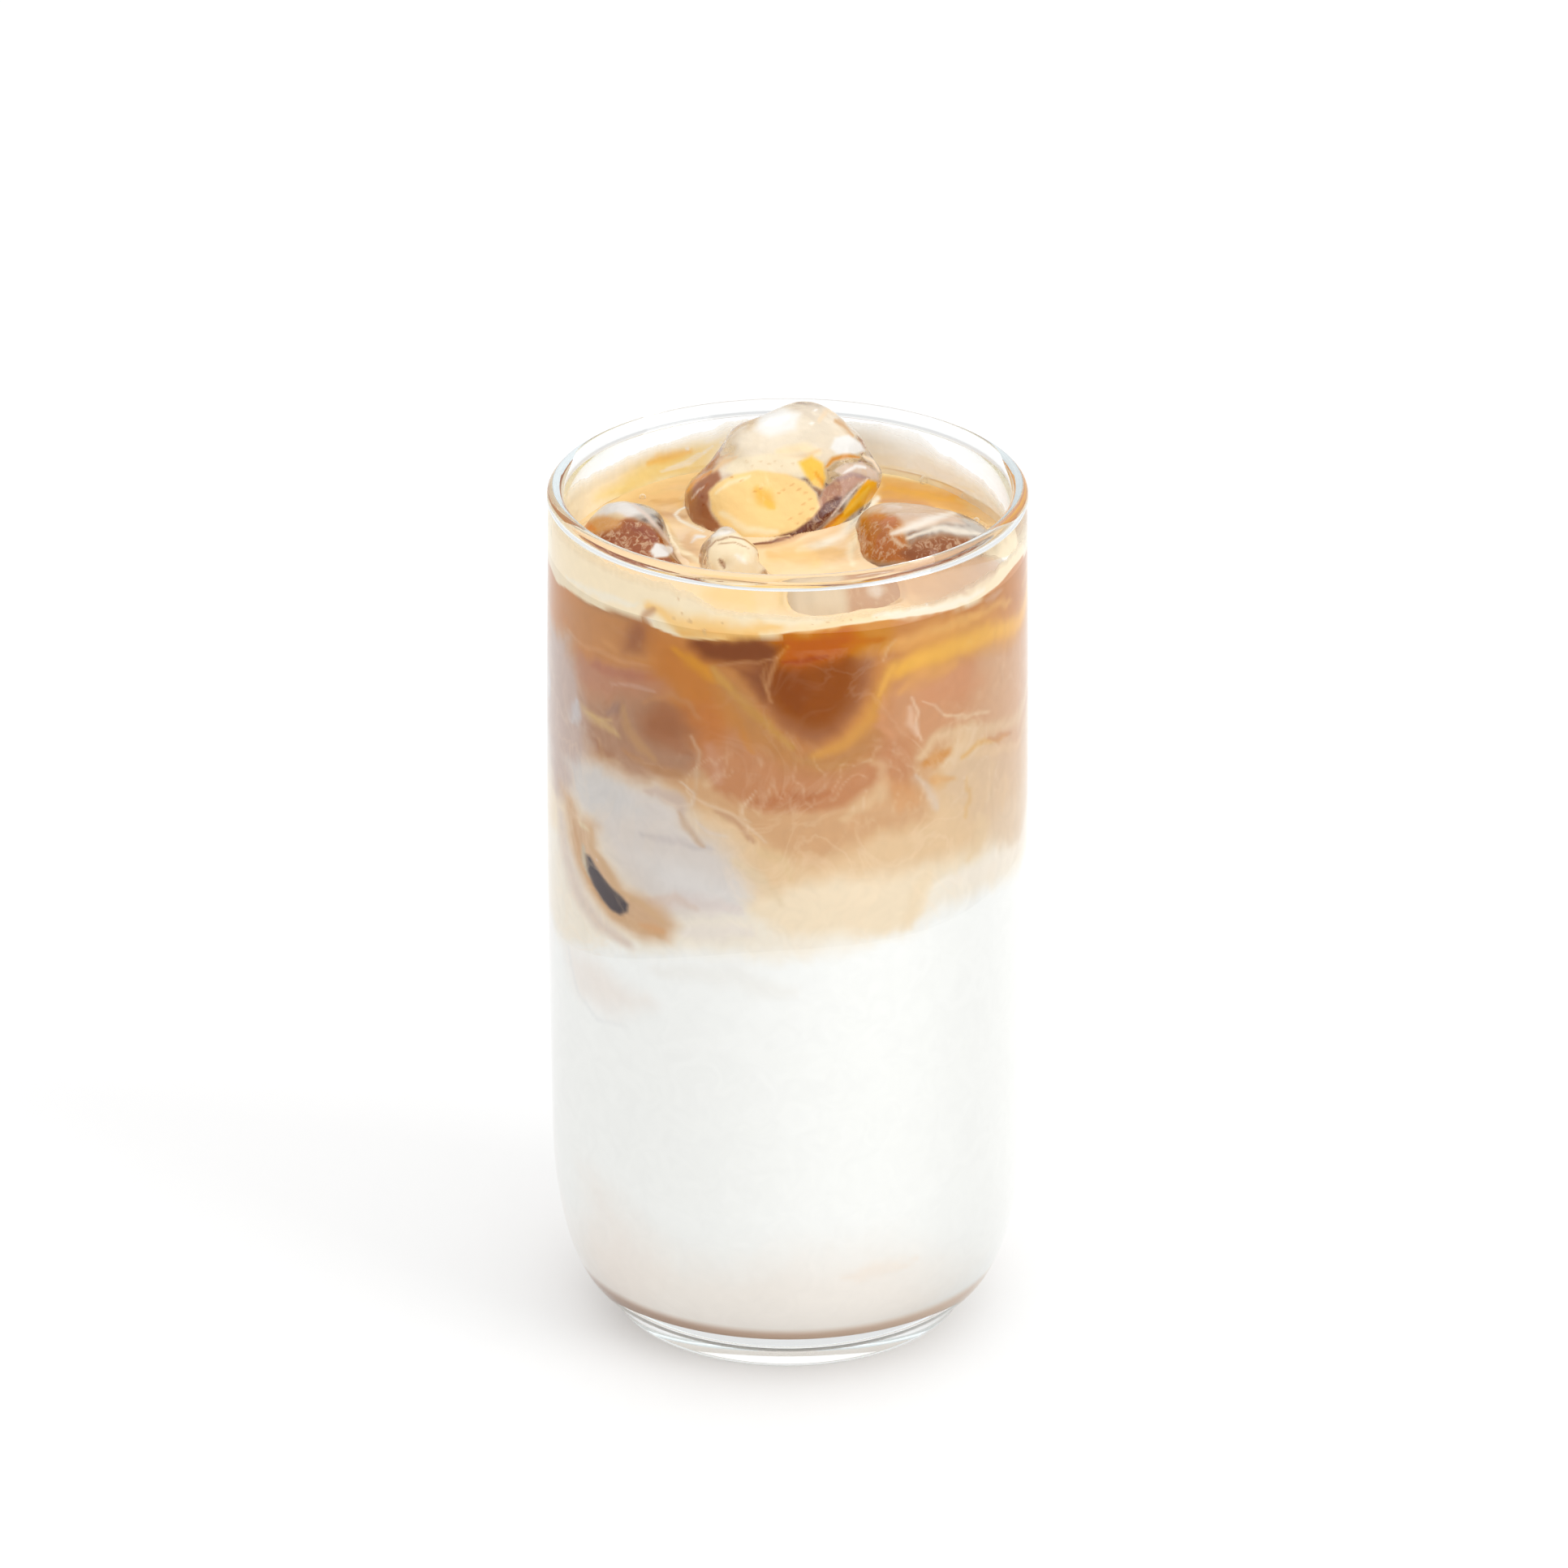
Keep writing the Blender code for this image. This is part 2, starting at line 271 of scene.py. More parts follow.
MILK = tone(250, 249, 246)
PEACH = tone(247, 232, 219)
CREAM = tone(244, 224, 195)
SAND = tone(232, 198, 158)
TAN = tone(214, 168, 126)
CLAY = tone(198, 138, 98)
RUST = tone(186, 118, 78)
CARAMEL = tone(202, 136, 80)
ORANGE = tone(208, 134, 62)
GOLD = tone(226, 166, 84)
YELLOW_GOLD = tone(240, 182, 96)
ESPRESSO = tone(146, 76, 26)
EMBER = tone(190, 92, 0)
BARK = tone(130, 70, 36)
UMBER = tone(164, 106, 72)
MAUVE = tone(198, 172, 160)
CLOUD = tone(222, 211, 203)
SHADED_SLIT = tone(82, 72, 74)

PHOTO_PIXELS_PER_MM = 8.8


class PaintSheet:
    """Colours laid on a surface like brushwork: washes inside outlines, plumes along lines."""

    def __init__(self, place, unit):
        self.place = place
        self.unit = unit
        self.work = []

    def lay(self, kind, points, colour, reach, strength, wisp, fleck):
        corners = np.array([self.place(px, py) for px, py in points])
        self.work.append((kind, corners, colour, reach * self.unit, strength, wisp, fleck))

    def wash(self, colour, soft, strength, *outline, wisp=1.0, fleck=0.0):
        """A clouded patch inside an outline of photo pixels, with an edge soft mm wide."""
        self.lay("wash", outline, colour, soft, strength, wisp, fleck)

    def plume(self, colour, width, strength, *line, wisp=1.0, fleck=0.0):
        """A thread or ribbon along a line of photo pixels, width mm across in all."""
        self.lay("plume", line, colour, width / 2, strength, wisp, fleck)

    def paint(self, flat, drift, ground):
        """Colour, cover and frost at flat places on the sheet, over a ground of the same."""
        colours = ground.copy()
        for kind, corners, colour, reach, strength, wisp, fleck in self.work:
            x = flat[:, 0] + drift[:, 0] * (wisp * self.unit)
            y = flat[:, 1] + drift[:, 1] * (wisp * self.unit)
            nearest = np.full(len(flat), 1e6)
            line_share = np.zeros(len(flat))
            inside = np.zeros(len(flat), dtype=bool)
            last = len(corners) if kind == "wash" else max(1, len(corners) - 1)
            for index in range(last):
                start, end = corners[index], corners[(index + 1) % len(corners)]
                side = end - start
                along = (x - start[0]) * side[0] + (y - start[1]) * side[1]
                share = np.clip(along / max(side @ side, 1e-12), 0.0, 1.0)
                gap = np.hypot(x - start[0] - side[0] * share, y - start[1] - side[1] * share)
                line_share = np.where(gap < nearest, (index + share) / last, line_share)
                nearest = np.minimum(nearest, gap)
                if kind == "wash" and side[1] != 0.0:
                    crosses = (start[1] > y) != (end[1] > y)
                    inside ^= crosses & (x < start[0] + (y - start[1]) / side[1] * side[0])
            if kind == "wash":
                amount = np.clip(0.5 + np.where(inside, nearest, -nearest) / (2 * reach), 0, 1)
            else:
                taper = 0.55 + 0.45 * np.sin(np.pi * line_share)
                amount = np.clip(1.0 - nearest / (reach * 1.5 * taper), 0.0, 1.0)
            amount = (amount * amount * (3.0 - 2.0 * amount) * strength)[:, None]
            tint = np.append(colour, (1.0, fleck))
            colours = colours * (1.0 - amount) + tint * amount
        return colours


wall_sheet = PaintSheet(seen_through_glass, MM)
wash = wall_sheet.wash
plume = wall_sheet.plume

# Milk under everything, then the wide clouds from the pale fringe up to the dark top.
wash(CREAM, 2.0, 0.55, (640, 1135), (760, 1165), (860, 1172), (960, 1180), (1040, 1170),
     (1085, 1157), (1120, 1147), (1150, 1127), (1190, 1112), (1215, 1096), (1250, 1070),
     (1290, 1045), (1290, 520), (640, 520))
wash(CREAM, 1.5, 1.0, (800, 1120), (900, 1110), (960, 1150), (1050, 1150), (1090, 1150),
     (1130, 1130), (1150, 1085), (1200, 1065), (1225, 1040), (1290, 1000), (1290, 520), (640, 520),
     (640, 960))
wash(SAND, 2.0, 1.0, (860, 1060), (930, 1100), (1010, 1085), (1090, 1078), (1150, 1060),
     (1205, 1045), (1225, 1000), (1290, 960), (1290, 520), (640, 520), (640, 920), (800, 990))
wash(TAN, 2.0, 1.0, (900, 1010), (960, 1050), (1020, 1062), (1080, 1030), (1140, 1010),
     (1160, 950), (1185, 900), (1290, 860), (1290, 520), (640, 520), (640, 900), (800, 960))
wash(CLAY, 0.8, 1.0, (862, 945), (880, 975), (925, 998), (1000, 1002), (1040, 994), (1068, 975),
     (1100, 960), (1115, 900), (1125, 850), (1290, 770), (1290, 520), (640, 520), (640, 860),
     (720, 905), (800, 945), wisp=0.6)
wash(CARAMEL, 2.0, 1.0, (640, 520), (1290, 520), (1290, 750), (1190, 780), (1110, 815),
     (1090, 880), (1030, 925), (960, 930), (900, 900), (860, 890), (800, 850), (720, 820),
     (640, 800))

# The right side: pale peach clouds under a golden band.
wash(tone(210, 154, 114), 2.5, 1.0, (1100, 850), (1150, 832), (1215, 812), (1290, 780),
     (1290, 900), (1180, 895), (1130, 925), (1100, 910))
wash(tone(214, 152, 112), 1.5, 0.9, (1125, 845), (1160, 826), (1205, 812), (1215, 840),
     (1180, 866), (1135, 862))
wash(tone(216, 172, 136), 2.5, 0.8, (1215, 800), (1290, 770), (1290, 960), (1225, 960),
     (1205, 880))
wash(tone(220, 188, 156), 2.2, 0.7, (1180, 935), (1215, 925), (1290, 900), (1290, 1040),
     (1222, 1040), (1188, 1010), (1165, 975))
wash(CLAY, 1.5, 0.9, (1085, 925), (1128, 905), (1132, 935), (1118, 975), (1092, 975))
wash(tone(216, 158, 108), 1.2, 0.7, (1090, 965), (1125, 965), (1135, 985), (1105, 1000))
plume(SAND, 2.2, 0.5, (1060, 935), (1085, 950), (1082, 985), (1040, 1012))
plume(ORANGE, 3.0, 0.65, (1148, 938), (1172, 930))
plume(tone(224, 166, 104), 2.4, 0.6, (1150, 965), (1178, 960))
plume(GOLD, 1.3, 0.5, (1193, 930), (1212, 920), (1235, 908))
plume(CLAY, 1.3, 0.5, (1222, 912), (1240, 905))
plume(tone(232, 202, 164), 2.6, 0.6, (1138, 932), (1158, 908), (1182, 900), (1206, 905),
      (1240, 888), (1268, 882))
plume(SAND, 1.6, 0.5, (1205, 935), (1232, 925), (1262, 905))
plume(CLOUD, 1.6, 0.45, (1128, 955), (1148, 975), (1150, 1000))
plume(SAND, 1.6, 0.45, (1200, 958), (1196, 985), (1189, 1012))
plume(GOLD, 0.88, 0.29, (1193, 960), (1188, 985), (1183, 1010))
plume(SAND, 1.8, 0.4, (1222, 945), (1214, 975), (1208, 1000))
plume(SAND, 1.4, 0.5, (1238, 960), (1236, 1000))
plume(SAND, 2.5, 0.7, (1150, 1010), (1175, 1035), (1200, 1022))
plume(tone(236, 206, 166), 2.4, 0.6, (1202, 1010), (1207, 1035), (1192, 1060))
plume(tone(242, 218, 184), 3.4, 0.6, (1142, 1075), (1132, 1110), (1115, 1142))
plume(tone(247, 234, 218), 3.5, 0.7, (1175, 1085), (1215, 1070), (1252, 1045))

# Yellow-gold band to the right and the ribbon that runs down beside the dark tongue.
plume(tone(232, 172, 104), 3.4, 0.85, (1100, 800), (1150, 778), (1200, 764))
plume(tone(226, 170, 104), 2.0, 0.8, (1150, 778), (1200, 762), (1245, 745))
plume(tone(236, 174, 92), 6.0, 0.7, (1110, 826), (1150, 806), (1200, 786), (1268, 758), wisp=0.6)
plume(tone(242, 182, 88), 3.6, 0.85, (1102, 830), (1132, 814), (1172, 800), (1212, 784),
      (1262, 764), wisp=0.5)
plume(YELLOW_GOLD, 2.4, 0.4, (1125, 818), (1160, 803), (1205, 788), (1240, 774), wisp=0.4)
plume(tone(234, 172, 100), 2.6, 0.5, (1110, 850), (1140, 832), (1175, 822))
plume(MAUVE, 1.2, 0.8, (1262, 712), (1258, 740))
plume(tone(212, 174, 150), 1.5, 0.6, (1235, 735), (1215, 745))

# The left side: orange-brown above a soft line, mauve below it, and knotted brown clouds.
wash(tone(190, 134, 104), 1.5, 1.0, (712, 800), (765, 818), (820, 830), (830, 850), (790, 862),
     (720, 850), (700, 820))
wash(tone(178, 134, 106), 2.0, 1.0, (705, 850), (800, 858), (860, 900), (850, 950), (780, 955),
     (730, 925), (705, 890))
wash(tone(198, 138, 88), 1.2, 1.0, (692, 745), (715, 738), (780, 762), (810, 790), (820, 815),
     (770, 810), (735, 798), (705, 780))
plume(tone(178, 128, 88), 1.6, 0.8, (712, 735), (745, 752), (770, 762), wisp=0.4)
plume(tone(214, 160, 118), 1, 0.5, (700, 776), (716, 792), (742, 803), (768, 814), (800, 822),
      wisp=0.4)
plume(tone(212, 152, 98), 1.6, 0.6, (745, 790), (790, 812), (830, 818))
plume(tone(182, 116, 92), 2.0, 0.6, (730, 815), (760, 828), (800, 838))
plume(tone(206, 166, 146), 0.75, 0.58, (752, 842), (780, 846), (806, 853), wisp=0.5)
wash(UMBER, 1.6, 1.0, (778, 764), (800, 772), (806, 790), (792, 806), (768, 802), (770, 780),
     wisp=0.5)
wash(tone(198, 126, 66), 2.4, 1.0, (805, 785), (850, 792), (880, 815), (895, 850), (870, 905),
     (840, 880), (835, 850), (800, 835))
wash(tone(196, 122, 72), 1.6, 0.7, (838, 862), (870, 870), (885, 900), (872, 935), (848, 915))
plume(tone(218, 150, 62), 2.4, 0.8, (835, 800), (862, 822), (885, 838))
plume(ORANGE, 2.0, 0.5, (880, 850), (905, 885), (925, 925))
wash(UMBER, 1.8, 0.95, (792, 880), (815, 862), (842, 876), (850, 898), (838, 916), (812, 914),
     (795, 902), wisp=0.7)
plume(tone(196, 140, 96), 1.0, 0.6, (798, 868), (822, 852), (848, 866), (856, 885))
plume(tone(172, 116, 84), 1.6, 0.6, (800, 890), (830, 912), (845, 925))
plume(tone(156, 118, 104), 1.8, 0.7, (745, 876), (760, 872))
plume(tone(212, 176, 122), 1.9, 0.65, (712, 866), (724, 880), (744, 892), (760, 905), wisp=0.5)
plume(tone(214, 178, 122), 0.75, 0.58, (720, 875), (735, 884), (752, 886), wisp=0.5)
plume(tone(196, 150, 102), 2.2, 0.55, (766, 876), (776, 898), (792, 916), (806, 932))
plume(tone(200, 160, 120), 0.9, 0.6, (735, 905), (742, 930), (760, 940))
plume(tone(186, 136, 96), 2.0, 0.7, (770, 925), (805, 945), (838, 952))
plume(UMBER, 1.6, 0.4, (722, 898), (738, 918), (756, 935))
plume(tone(206, 152, 122), 3.0, 0.7, (868, 915), (876, 945), (880, 962))
wash(MAUVE, 1.8, 1.0, (640, 770), (700, 780), (708, 830), (712, 870), (722, 910), (728, 960),
     (640, 980))
plume(tone(206, 202, 204), 1.6, 0.7, (703, 858), (704, 885))

# The dark tongue of espresso in the middle, and what lies on it.
wash(tone(190, 134, 84), 2.0, 0.9, (885, 820), (920, 850), (960, 905), (990, 930), (1025, 925),
     (1058, 900), (1085, 900), (1072, 935), (1030, 955), (970, 950), (925, 915), (880, 850),
     wisp=0.6)
wash(UMBER, 1.4, 1.0, (925, 815), (1080, 812), (1074, 842), (1056, 876), (1034, 903), (1010, 918),
     (988, 916), (965, 902), (942, 872), (928, 845), wisp=0.4)
wash(ESPRESSO, 2.0, 1.0, (940, 810), (1054, 804), (1056, 840), (1043, 872), (1024, 894),
     (990, 898), (962, 880), (944, 850), wisp=0.4)
wash(tone(138, 68, 18), 1.4, 0.8, (955, 830), (985, 822), (1000, 850), (985, 882), (965, 872),
     (950, 852), wisp=0.4)
wash(tone(204, 136, 60), 1.2, 1.0, (935, 770), (1105, 758), (1105, 800), (1060, 812), (1000, 800),
     (960, 800))
wash(EMBER, 1.5, 1.0, (956, 782), (1000, 778), (1050, 772), (1064, 794), (1035, 815), (985, 823),
     (962, 815), wisp=0.4)
plume(tone(164, 66, 4), 1.0, 0.8, (966, 815), (990, 815), (1020, 810), wisp=0.3)
plume(tone(196, 112, 40), 1.5, 0.8, (1040, 800), (1075, 795), (1095, 790))
wash(BARK, 1.2, 1.0, (848, 776), (875, 780), (930, 782), (964, 796), (954, 816), (905, 818),
     (868, 812), (852, 796), wisp=0.4)
wash(tone(138, 80, 48), 1.4, 0.9, (905, 822), (945, 820), (952, 850), (940, 862), (925, 845),
     wisp=0.5)
plume(tone(196, 142, 100), 0.62, 0.58, (884, 820), (905, 816), (935, 815), (960, 808), wisp=0.3)
plume(tone(210, 156, 110), 0.88, 0.54, (972, 796), (957, 812), (950, 830), (945, 848), (950, 866),
      wisp=0.3)
plume(tone(204, 150, 100), 0.62, 0.43, (943, 818), (940, 835), (946, 855), wisp=0.3)
plume(tone(198, 146, 82), 1.8, 0.85, (878, 822), (892, 842), (915, 868), (945, 895), (975, 925),
      wisp=0.5)
plume(tone(214, 160, 86), 1.4, 0.45, (880, 826), (900, 850), wisp=0.4)
plume(tone(218, 158, 84), 2.8, 0.75, (1106, 818), (1092, 842), (1080, 868), (1066, 893),
      (1042, 915), (1005, 934), wisp=0.4)
plume(YELLOW_GOLD, 1.1, 0.55, (1104, 820), (1094, 836), (1084, 856), wisp=0.3)
plume(tone(222, 178, 130), 0.5, 0.58, (1107, 786), (1096, 799), (1090, 816), wisp=0.2)
plume(tone(214, 154, 114), 2.0, 0.7, (1092, 858), (1084, 890), (1098, 912))
plume(RUST, 2.0, 0.7, (930, 985), (970, 985), (1020, 980))
plume(tone(196, 144, 92), 1.6, 0.5, (980, 940), (1020, 948), (1050, 935))

# Thin bright threads on the right.
plume(tone(240, 206, 178), 0.62, 0.65, (1124, 858), (1132, 876), (1130, 898), (1138, 912),
      wisp=0.3)
plume(tone(232, 192, 164), 1.4, 0.7, (1122, 868), (1124, 890), (1132, 905), wisp=0.4)
plume(tone(238, 202, 172), 0.5, 0.5, (1137, 862), (1152, 868), (1165, 882), wisp=0.3)
plume(tone(214, 158, 118), 1.3, 0.5, (1140, 890), (1162, 884), (1180, 872))
plume(tone(236, 206, 172), 1.0, 0.6, (1165, 880), (1190, 884), (1220, 876))

# The grey-white cloud on the left, with tan streaks and white threads below the brown.
wash(CLOUD, 3.2, 1.0, (700, 945), (760, 952), (810, 968), (835, 985), (850, 1010), (900, 1050),
     (925, 1090), (905, 1120), (840, 1130), (780, 1100), (745, 1060), (725, 1010), (700, 985))
wash(tone(214, 208, 204), 1.8, 0.8, (700, 940), (735, 935), (770, 975), (790, 1000), (755, 1015),
     (715, 990))
wash(tone(228, 222, 218), 2.2, 0.7, (790, 1060), (860, 1075), (920, 1100), (900, 1130),
     (830, 1110))
plume(tone(206, 182, 168), 2.2, 0.8, (795, 972), (835, 985), (838, 1000))
plume(tone(204, 192, 188), 1.6, 0.6, (790, 1035), (840, 1040), (880, 1050))
plume(tone(202, 172, 148), 1.4, 0.8, (836, 1002), (848, 1020), (868, 1044), wisp=0.5)
plume(tone(202, 158, 124), 1.6, 0.8, (880, 1000), (905, 1012), (925, 1035), wisp=0.6)
plume(TAN, 2.2, 0.6, (900, 980), (930, 1005), (960, 1035))
plume(tone(228, 196, 152), 2.2, 0.7, (935, 1045), (965, 1055), (980, 1080))
plume(tone(230, 206, 172), 2.6, 0.7, (905, 1060), (940, 1085), (965, 1110))
plume(tone(228, 206, 186), 0.62, 0.61, (838, 962), (856, 978), (852, 990), (834, 994), (815, 984),
      wisp=0.3)
plume(tone(228, 198, 168), 0.75, 0.61, (846, 975), (872, 992), (902, 1003), (925, 1020),
      (944, 1038), wisp=0.3)
plume(tone(230, 204, 178), 0.5, 0.43, (930, 974), (916, 992), (912, 1006), (926, 1014), wisp=0.3)
plume(tone(214, 182, 152), 0.75, 0.5, (850, 905), (860, 925), (857, 950), (856, 978), wisp=0.4)
plume(tone(226, 210, 200), 0.62, 0.5, (856, 1010), (872, 1025), (895, 1032), wisp=0.3)
plume(tone(226, 208, 202), 3.0, 0.5, (800, 1108), (850, 1115), (905, 1120))
plume(tone(222, 200, 186), 2.0, 0.7, (795, 1103), (830, 1108), (850, 1120))
plume(tone(228, 216, 212), 3.0, 0.4, (840, 1150), (920, 1152))

# A sunk piece of ice shows as a slit against the wall, ringed with tan, at the front alone; the
# slit's dark is coffee and painted shade in the hollow round the ice.
before_slit = len(wall_sheet.work)
plume(tone(220, 200, 186), 3.4, 0.85, (690, 1000), (697, 1050), (712, 1100), (738, 1138),
      (772, 1162), wisp=0.3)
wash(tone(212, 172, 136), 1.6, 0.95, (690, 965), (698, 1005), (710, 1052), (728, 1098),
     (754, 1134), (790, 1156), (822, 1158), (832, 1140), (814, 1116), (790, 1102), (768, 1096),
     (756, 1078), (742, 1060), (731, 1046), (730, 1028), (736, 1018), (724, 1010), (712, 1010),
     (704, 985), wisp=0.3)
plume(tone(212, 172, 134), 2.6, 0.95, (700, 985), (706, 1022), (716, 1060), (732, 1094),
      (756, 1124), (790, 1142), (812, 1150), wisp=0.3)
plume(tone(206, 160, 118), 1.0, 0.7, (704, 1010), (714, 1052), (728, 1088), (748, 1118), wisp=0.3)
plume(tone(214, 176, 138), 1.4, 0.95, (728, 1022), (729, 1045), (742, 1062), (752, 1080),
      (762, 1098), (790, 1112), (815, 1135), wisp=0.2)
plume(tone(218, 168, 124), 2.0, 0.8, (790, 1138), (815, 1146), wisp=0.3)
plume(tone(228, 208, 172), 0.9, 0.8, (714, 1014), (724, 1023), wisp=0.2)
plume(tone(196, 186, 166), 0.9, 0.8, (719, 1042), (720, 1062), (726, 1080), wisp=0.1)
# The slit itself: dark coffee and painted shade where the ice's hollow lets little light in.
wash(SHADED_SLIT, 0.35, 1.0, (722, 1053), (724, 1072), (731, 1090), (742, 1108), (753, 1121),
     (764, 1127), (773, 1123), (774, 1114), (765, 1104), (753, 1093), (743, 1081), (734, 1068),
     (727, 1055), wisp=0.05)
plume(tone(236, 220, 210), 0.31, 0.65, (734, 1058), (736, 1060), wisp=0.0)

after_slit = len(wall_sheet.work)

# Faint clouds in the milk: a peach ghost under the ring and a warm blush near the bottom.
wash(tone(242, 230, 221), 2.6, 0.7, (700, 1170), (722, 1180), (760, 1215), (800, 1240),
     (745, 1245), (712, 1215))
plume(tone(232, 231, 230), 0.62, 0.43, (700, 1165), (712, 1220), (735, 1255), (780, 1262),
      wisp=0.3)
plume(tone(242, 238, 232), 4.0, 0.5, (800, 1195), (900, 1200), (980, 1225))
wash(PEACH, 6.0, 0.5, (700, 1540), (800, 1530), (900, 1560), (1000, 1545), (1100, 1540),
     (1180, 1570), (1160, 1640), (1000, 1670), (850, 1660), (730, 1600), wisp=1.5)
wash(tone(244, 230, 220), 5.0, 0.5, (735, 1450), (770, 1500), (800, 1560), (790, 1620),
     (720, 1560), wisp=1.5)
plume(tone(247, 230, 214), 3.0, 0.4, (1040, 1570), (1120, 1555), wisp=1.5)


# Foam behind the glass: the cream band above the coffee, whose lower edge dips at the front.
FOAM_CREAM = tone(246, 226, 192)
wash(FOAM_CREAM, 0.12, 1.0, (620, 700), (684, 716), (700, 726), (728, 745), (760, 757), (786, 765),
     (800, 771), (830, 783), (860, 788), (882, 789), (905, 787), (930, 785), (980, 778),
     (1040, 771), (1080, 766), (1120, 760), (1160, 754), (1200, 742), (1230, 722), (1248, 700),
     (1300, 650), (1300, 560), (970, 640), (620, 560), wisp=0.12)
plume(tone(244, 196, 122), 3.6, 0.85, (800, 750), (840, 765), (900, 775), (960, 768))
plume(tone(240, 182, 104), 2.0, 0.8, (830, 774), (880, 783), (930, 779))
plume(tone(246, 212, 160), 2.0, 0.6, (960, 772), (1040, 764), (1120, 752))
plume(tone(240, 232, 216), 1.6, 0.6, (700, 712), (740, 735), (780, 745))
plume(tone(244, 234, 216), 1.8, 0.8, (1080, 762), (1150, 750), (1210, 728))
plume(tone(218, 184, 152), 2.8, 0.6, (1080, 740), (1140, 732), (1190, 718), wisp=1.5)
wash(tone(216, 184, 158), 0.8, 0.7, (1095, 724), (1140, 714), (1200, 698), (1235, 690),
     (1226, 712), (1180, 732), (1130, 744), (1096, 750), wisp=1.2)
plume(tone(246, 240, 232), 0.35, 0.9, (1140, 718), (1136, 728), (1142, 746), wisp=0.4)
plume(tone(246, 240, 232), 0.4, 0.8, (1142, 722), (1180, 712), (1216, 690), wisp=0.4)
plume(tone(198, 158, 130), 1.0, 0.5, (1100, 722), (1140, 716), (1180, 706), wisp=1.8)
plume(tone(186, 136, 98), 1.4, 0.7, (790, 764), (806, 752), wisp=0.4)
# Painted highlight: a white line under the brown smudge.
plume(tone(244, 238, 230), 0.6, 0.9, (786, 764), (798, 766), (808, 768), wisp=0.3)
for px, py, size in ((830, 762, 0.5), (850, 766, 0.9), (868, 777, 0.7), (890, 768, 0.3),
                     (840, 756, 0.35), (836, 739, 0.35), (1020, 767, 0.35), (1038, 765, 0.3),
                     (1048, 764, 0.35), (1080, 761, 0.2), (886, 782, 0.3), (1000, 770, 0.25)):
    plume(tone(196, 150, 102), size, 0.75, (px - 1, py), (px + 1, py), wisp=0.0)
    plume(tone(240, 206, 150), size * 0.5, 0.7, (px - 1, py), (px + 1, py), wisp=0.0)


def drifts(places, wide=1.1, fine=0.55):
    """How the clouds' edges wander at each point, in two directions: slowly, then in curls."""
    points = [Vector(place) for place in places]
    slow = [[noise.fractal(p * 90.0 + Vector((shift, 0, 0)), 0.9, 2.1, 2) for p in points]
            for shift in (3.1, 7.7)]
    bent = [p + Vector((a, b, a + b)) * 3.0 * MM for p, a, b in zip(points, *slow)]
    curls = [[noise.fractal(p * 380.0 + Vector((0, shift, 0)), 0.7, 2.2, 2) for p in bent]
             for shift in (3.1, 7.7)]
    return np.array(slow).T * wide + np.array(curls).T * fine, bent


def paint_on_wall(places):
    """The colour of the drink at points on its wall, places in metres, painted shade and
    highlights included.
    """
    turn = np.arctan2(places[:, 0], -places[:, 1])
    side = math.radians(75)
    round_turn = np.where(turn < -side, turn + 2 * math.pi, turn)
    behind = round_turn > side
    share = (round_turn - side) / (2 * math.pi - 2 * side)
    along = np.where(behind, round_wall(side) * (1.0 - 2.0 * share), round_wall(turn))
    drift, bent = drifts(places)
    drift *= np.where(behind, 1.0 + 1.6 * np.sin(np.pi * np.clip(share, 0, 1)), 1.0)[:, None]
    ground = np.tile(np.append(MILK, (1.0, 0.0)), (len(places), 1))
    flat = np.column_stack((along, places[:, 2]))
    colours = wall_sheet.paint(flat, drift, ground)
    if behind.any():
        back_sheet = PaintSheet(seen_through_glass, MM)
        back_sheet.work = wall_sheet.work[:before_slit] + wall_sheet.work[after_slit:]
        colours[behind] = back_sheet.paint(flat[behind], drift[behind], ground[behind])
    stretch = Vector((1.0, 1.0, 0.55))
    threads = np.array([noise.fractal(p * 170.0 * stretch, 0.8, 2.1, 3) for p in bent])
    threads = np.clip(1.0 - np.abs(threads) * 9.0, 0.0, 1.0) ** 2
    patches = np.array([noise.noise(p * 70.0 + Vector((5.0, 0.0, 0.0))) for p in bent])
    brown = np.clip((0.97 - colours[:, 2]) * 4.0, 0.0, 1.0)
    below_foam = np.clip((114.0 * MM - places[:, 2]) / (3.0 * MM), 0.0, 1.0)
    thread_light = threads * np.clip(patches * 3.0 + 0.2, 0.0, 1.0) * brown * below_foam * 0.22
    colours[:, :3] += (tone(250, 232, 206) - colours[:, :3]) * thread_light[:, None]
    # Painted shade: the wall's colours are made a little darker on the lamp's side, round a turn
    # of 0.95 from the front.
    colours[:, :3] *= 1.0 - 0.055 * np.exp(-(((turn - 0.95) / 0.42) ** 2))[:, None]
    return colours


def give_colours(piece, colours):
    """Stores each vertex's colour as light, its cover as alpha, and its frost beside them."""
    light = colours[:, :4].copy()
    seen = np.clip(colours[:, :3], 0.0, 1.0)
    light[:, :3] = np.where(seen <= 0.04045, seen / 12.92, ((seen + 0.055) / 1.055) ** 2.4)
    layer = piece.data.color_attributes.new("drink_colour", "FLOAT_COLOR", "POINT")
    layer.data.foreach_set("color", light.ravel())
    layer = piece.data.attributes.new("frost", "FLOAT", "POINT")
    layer.data.foreach_set("value", colours[:, 4].copy())


def vertex_places(piece):
    places = np.empty(len(piece.data.vertices) * 3)
    piece.data.vertices.foreach_get("co", places)
    return places.reshape(-1, 3)


def vertex_normals(piece):
    normals = np.empty(len(piece.data.vertices) * 3)
    piece.data.vertices.foreach_get("normal", normals)
    return normals.reshape(-1, 3)


def move_vertices(piece, places):
    piece.data.vertices.foreach_set("co", places.ravel())
    piece.data.update()


MILK_LEVEL = 68 * MM
COFFEE_FOOT = 98 * MM
CREMA_FOOT = 114.3 * MM
LEVEL = 115.8 * MM


def milk_top(turn, share):
    tilt = 5.5 * np.sin(turn) + 1.8 * np.cos(3 * turn + 0.6)
    return MILK_LEVEL + share * tilt * MM


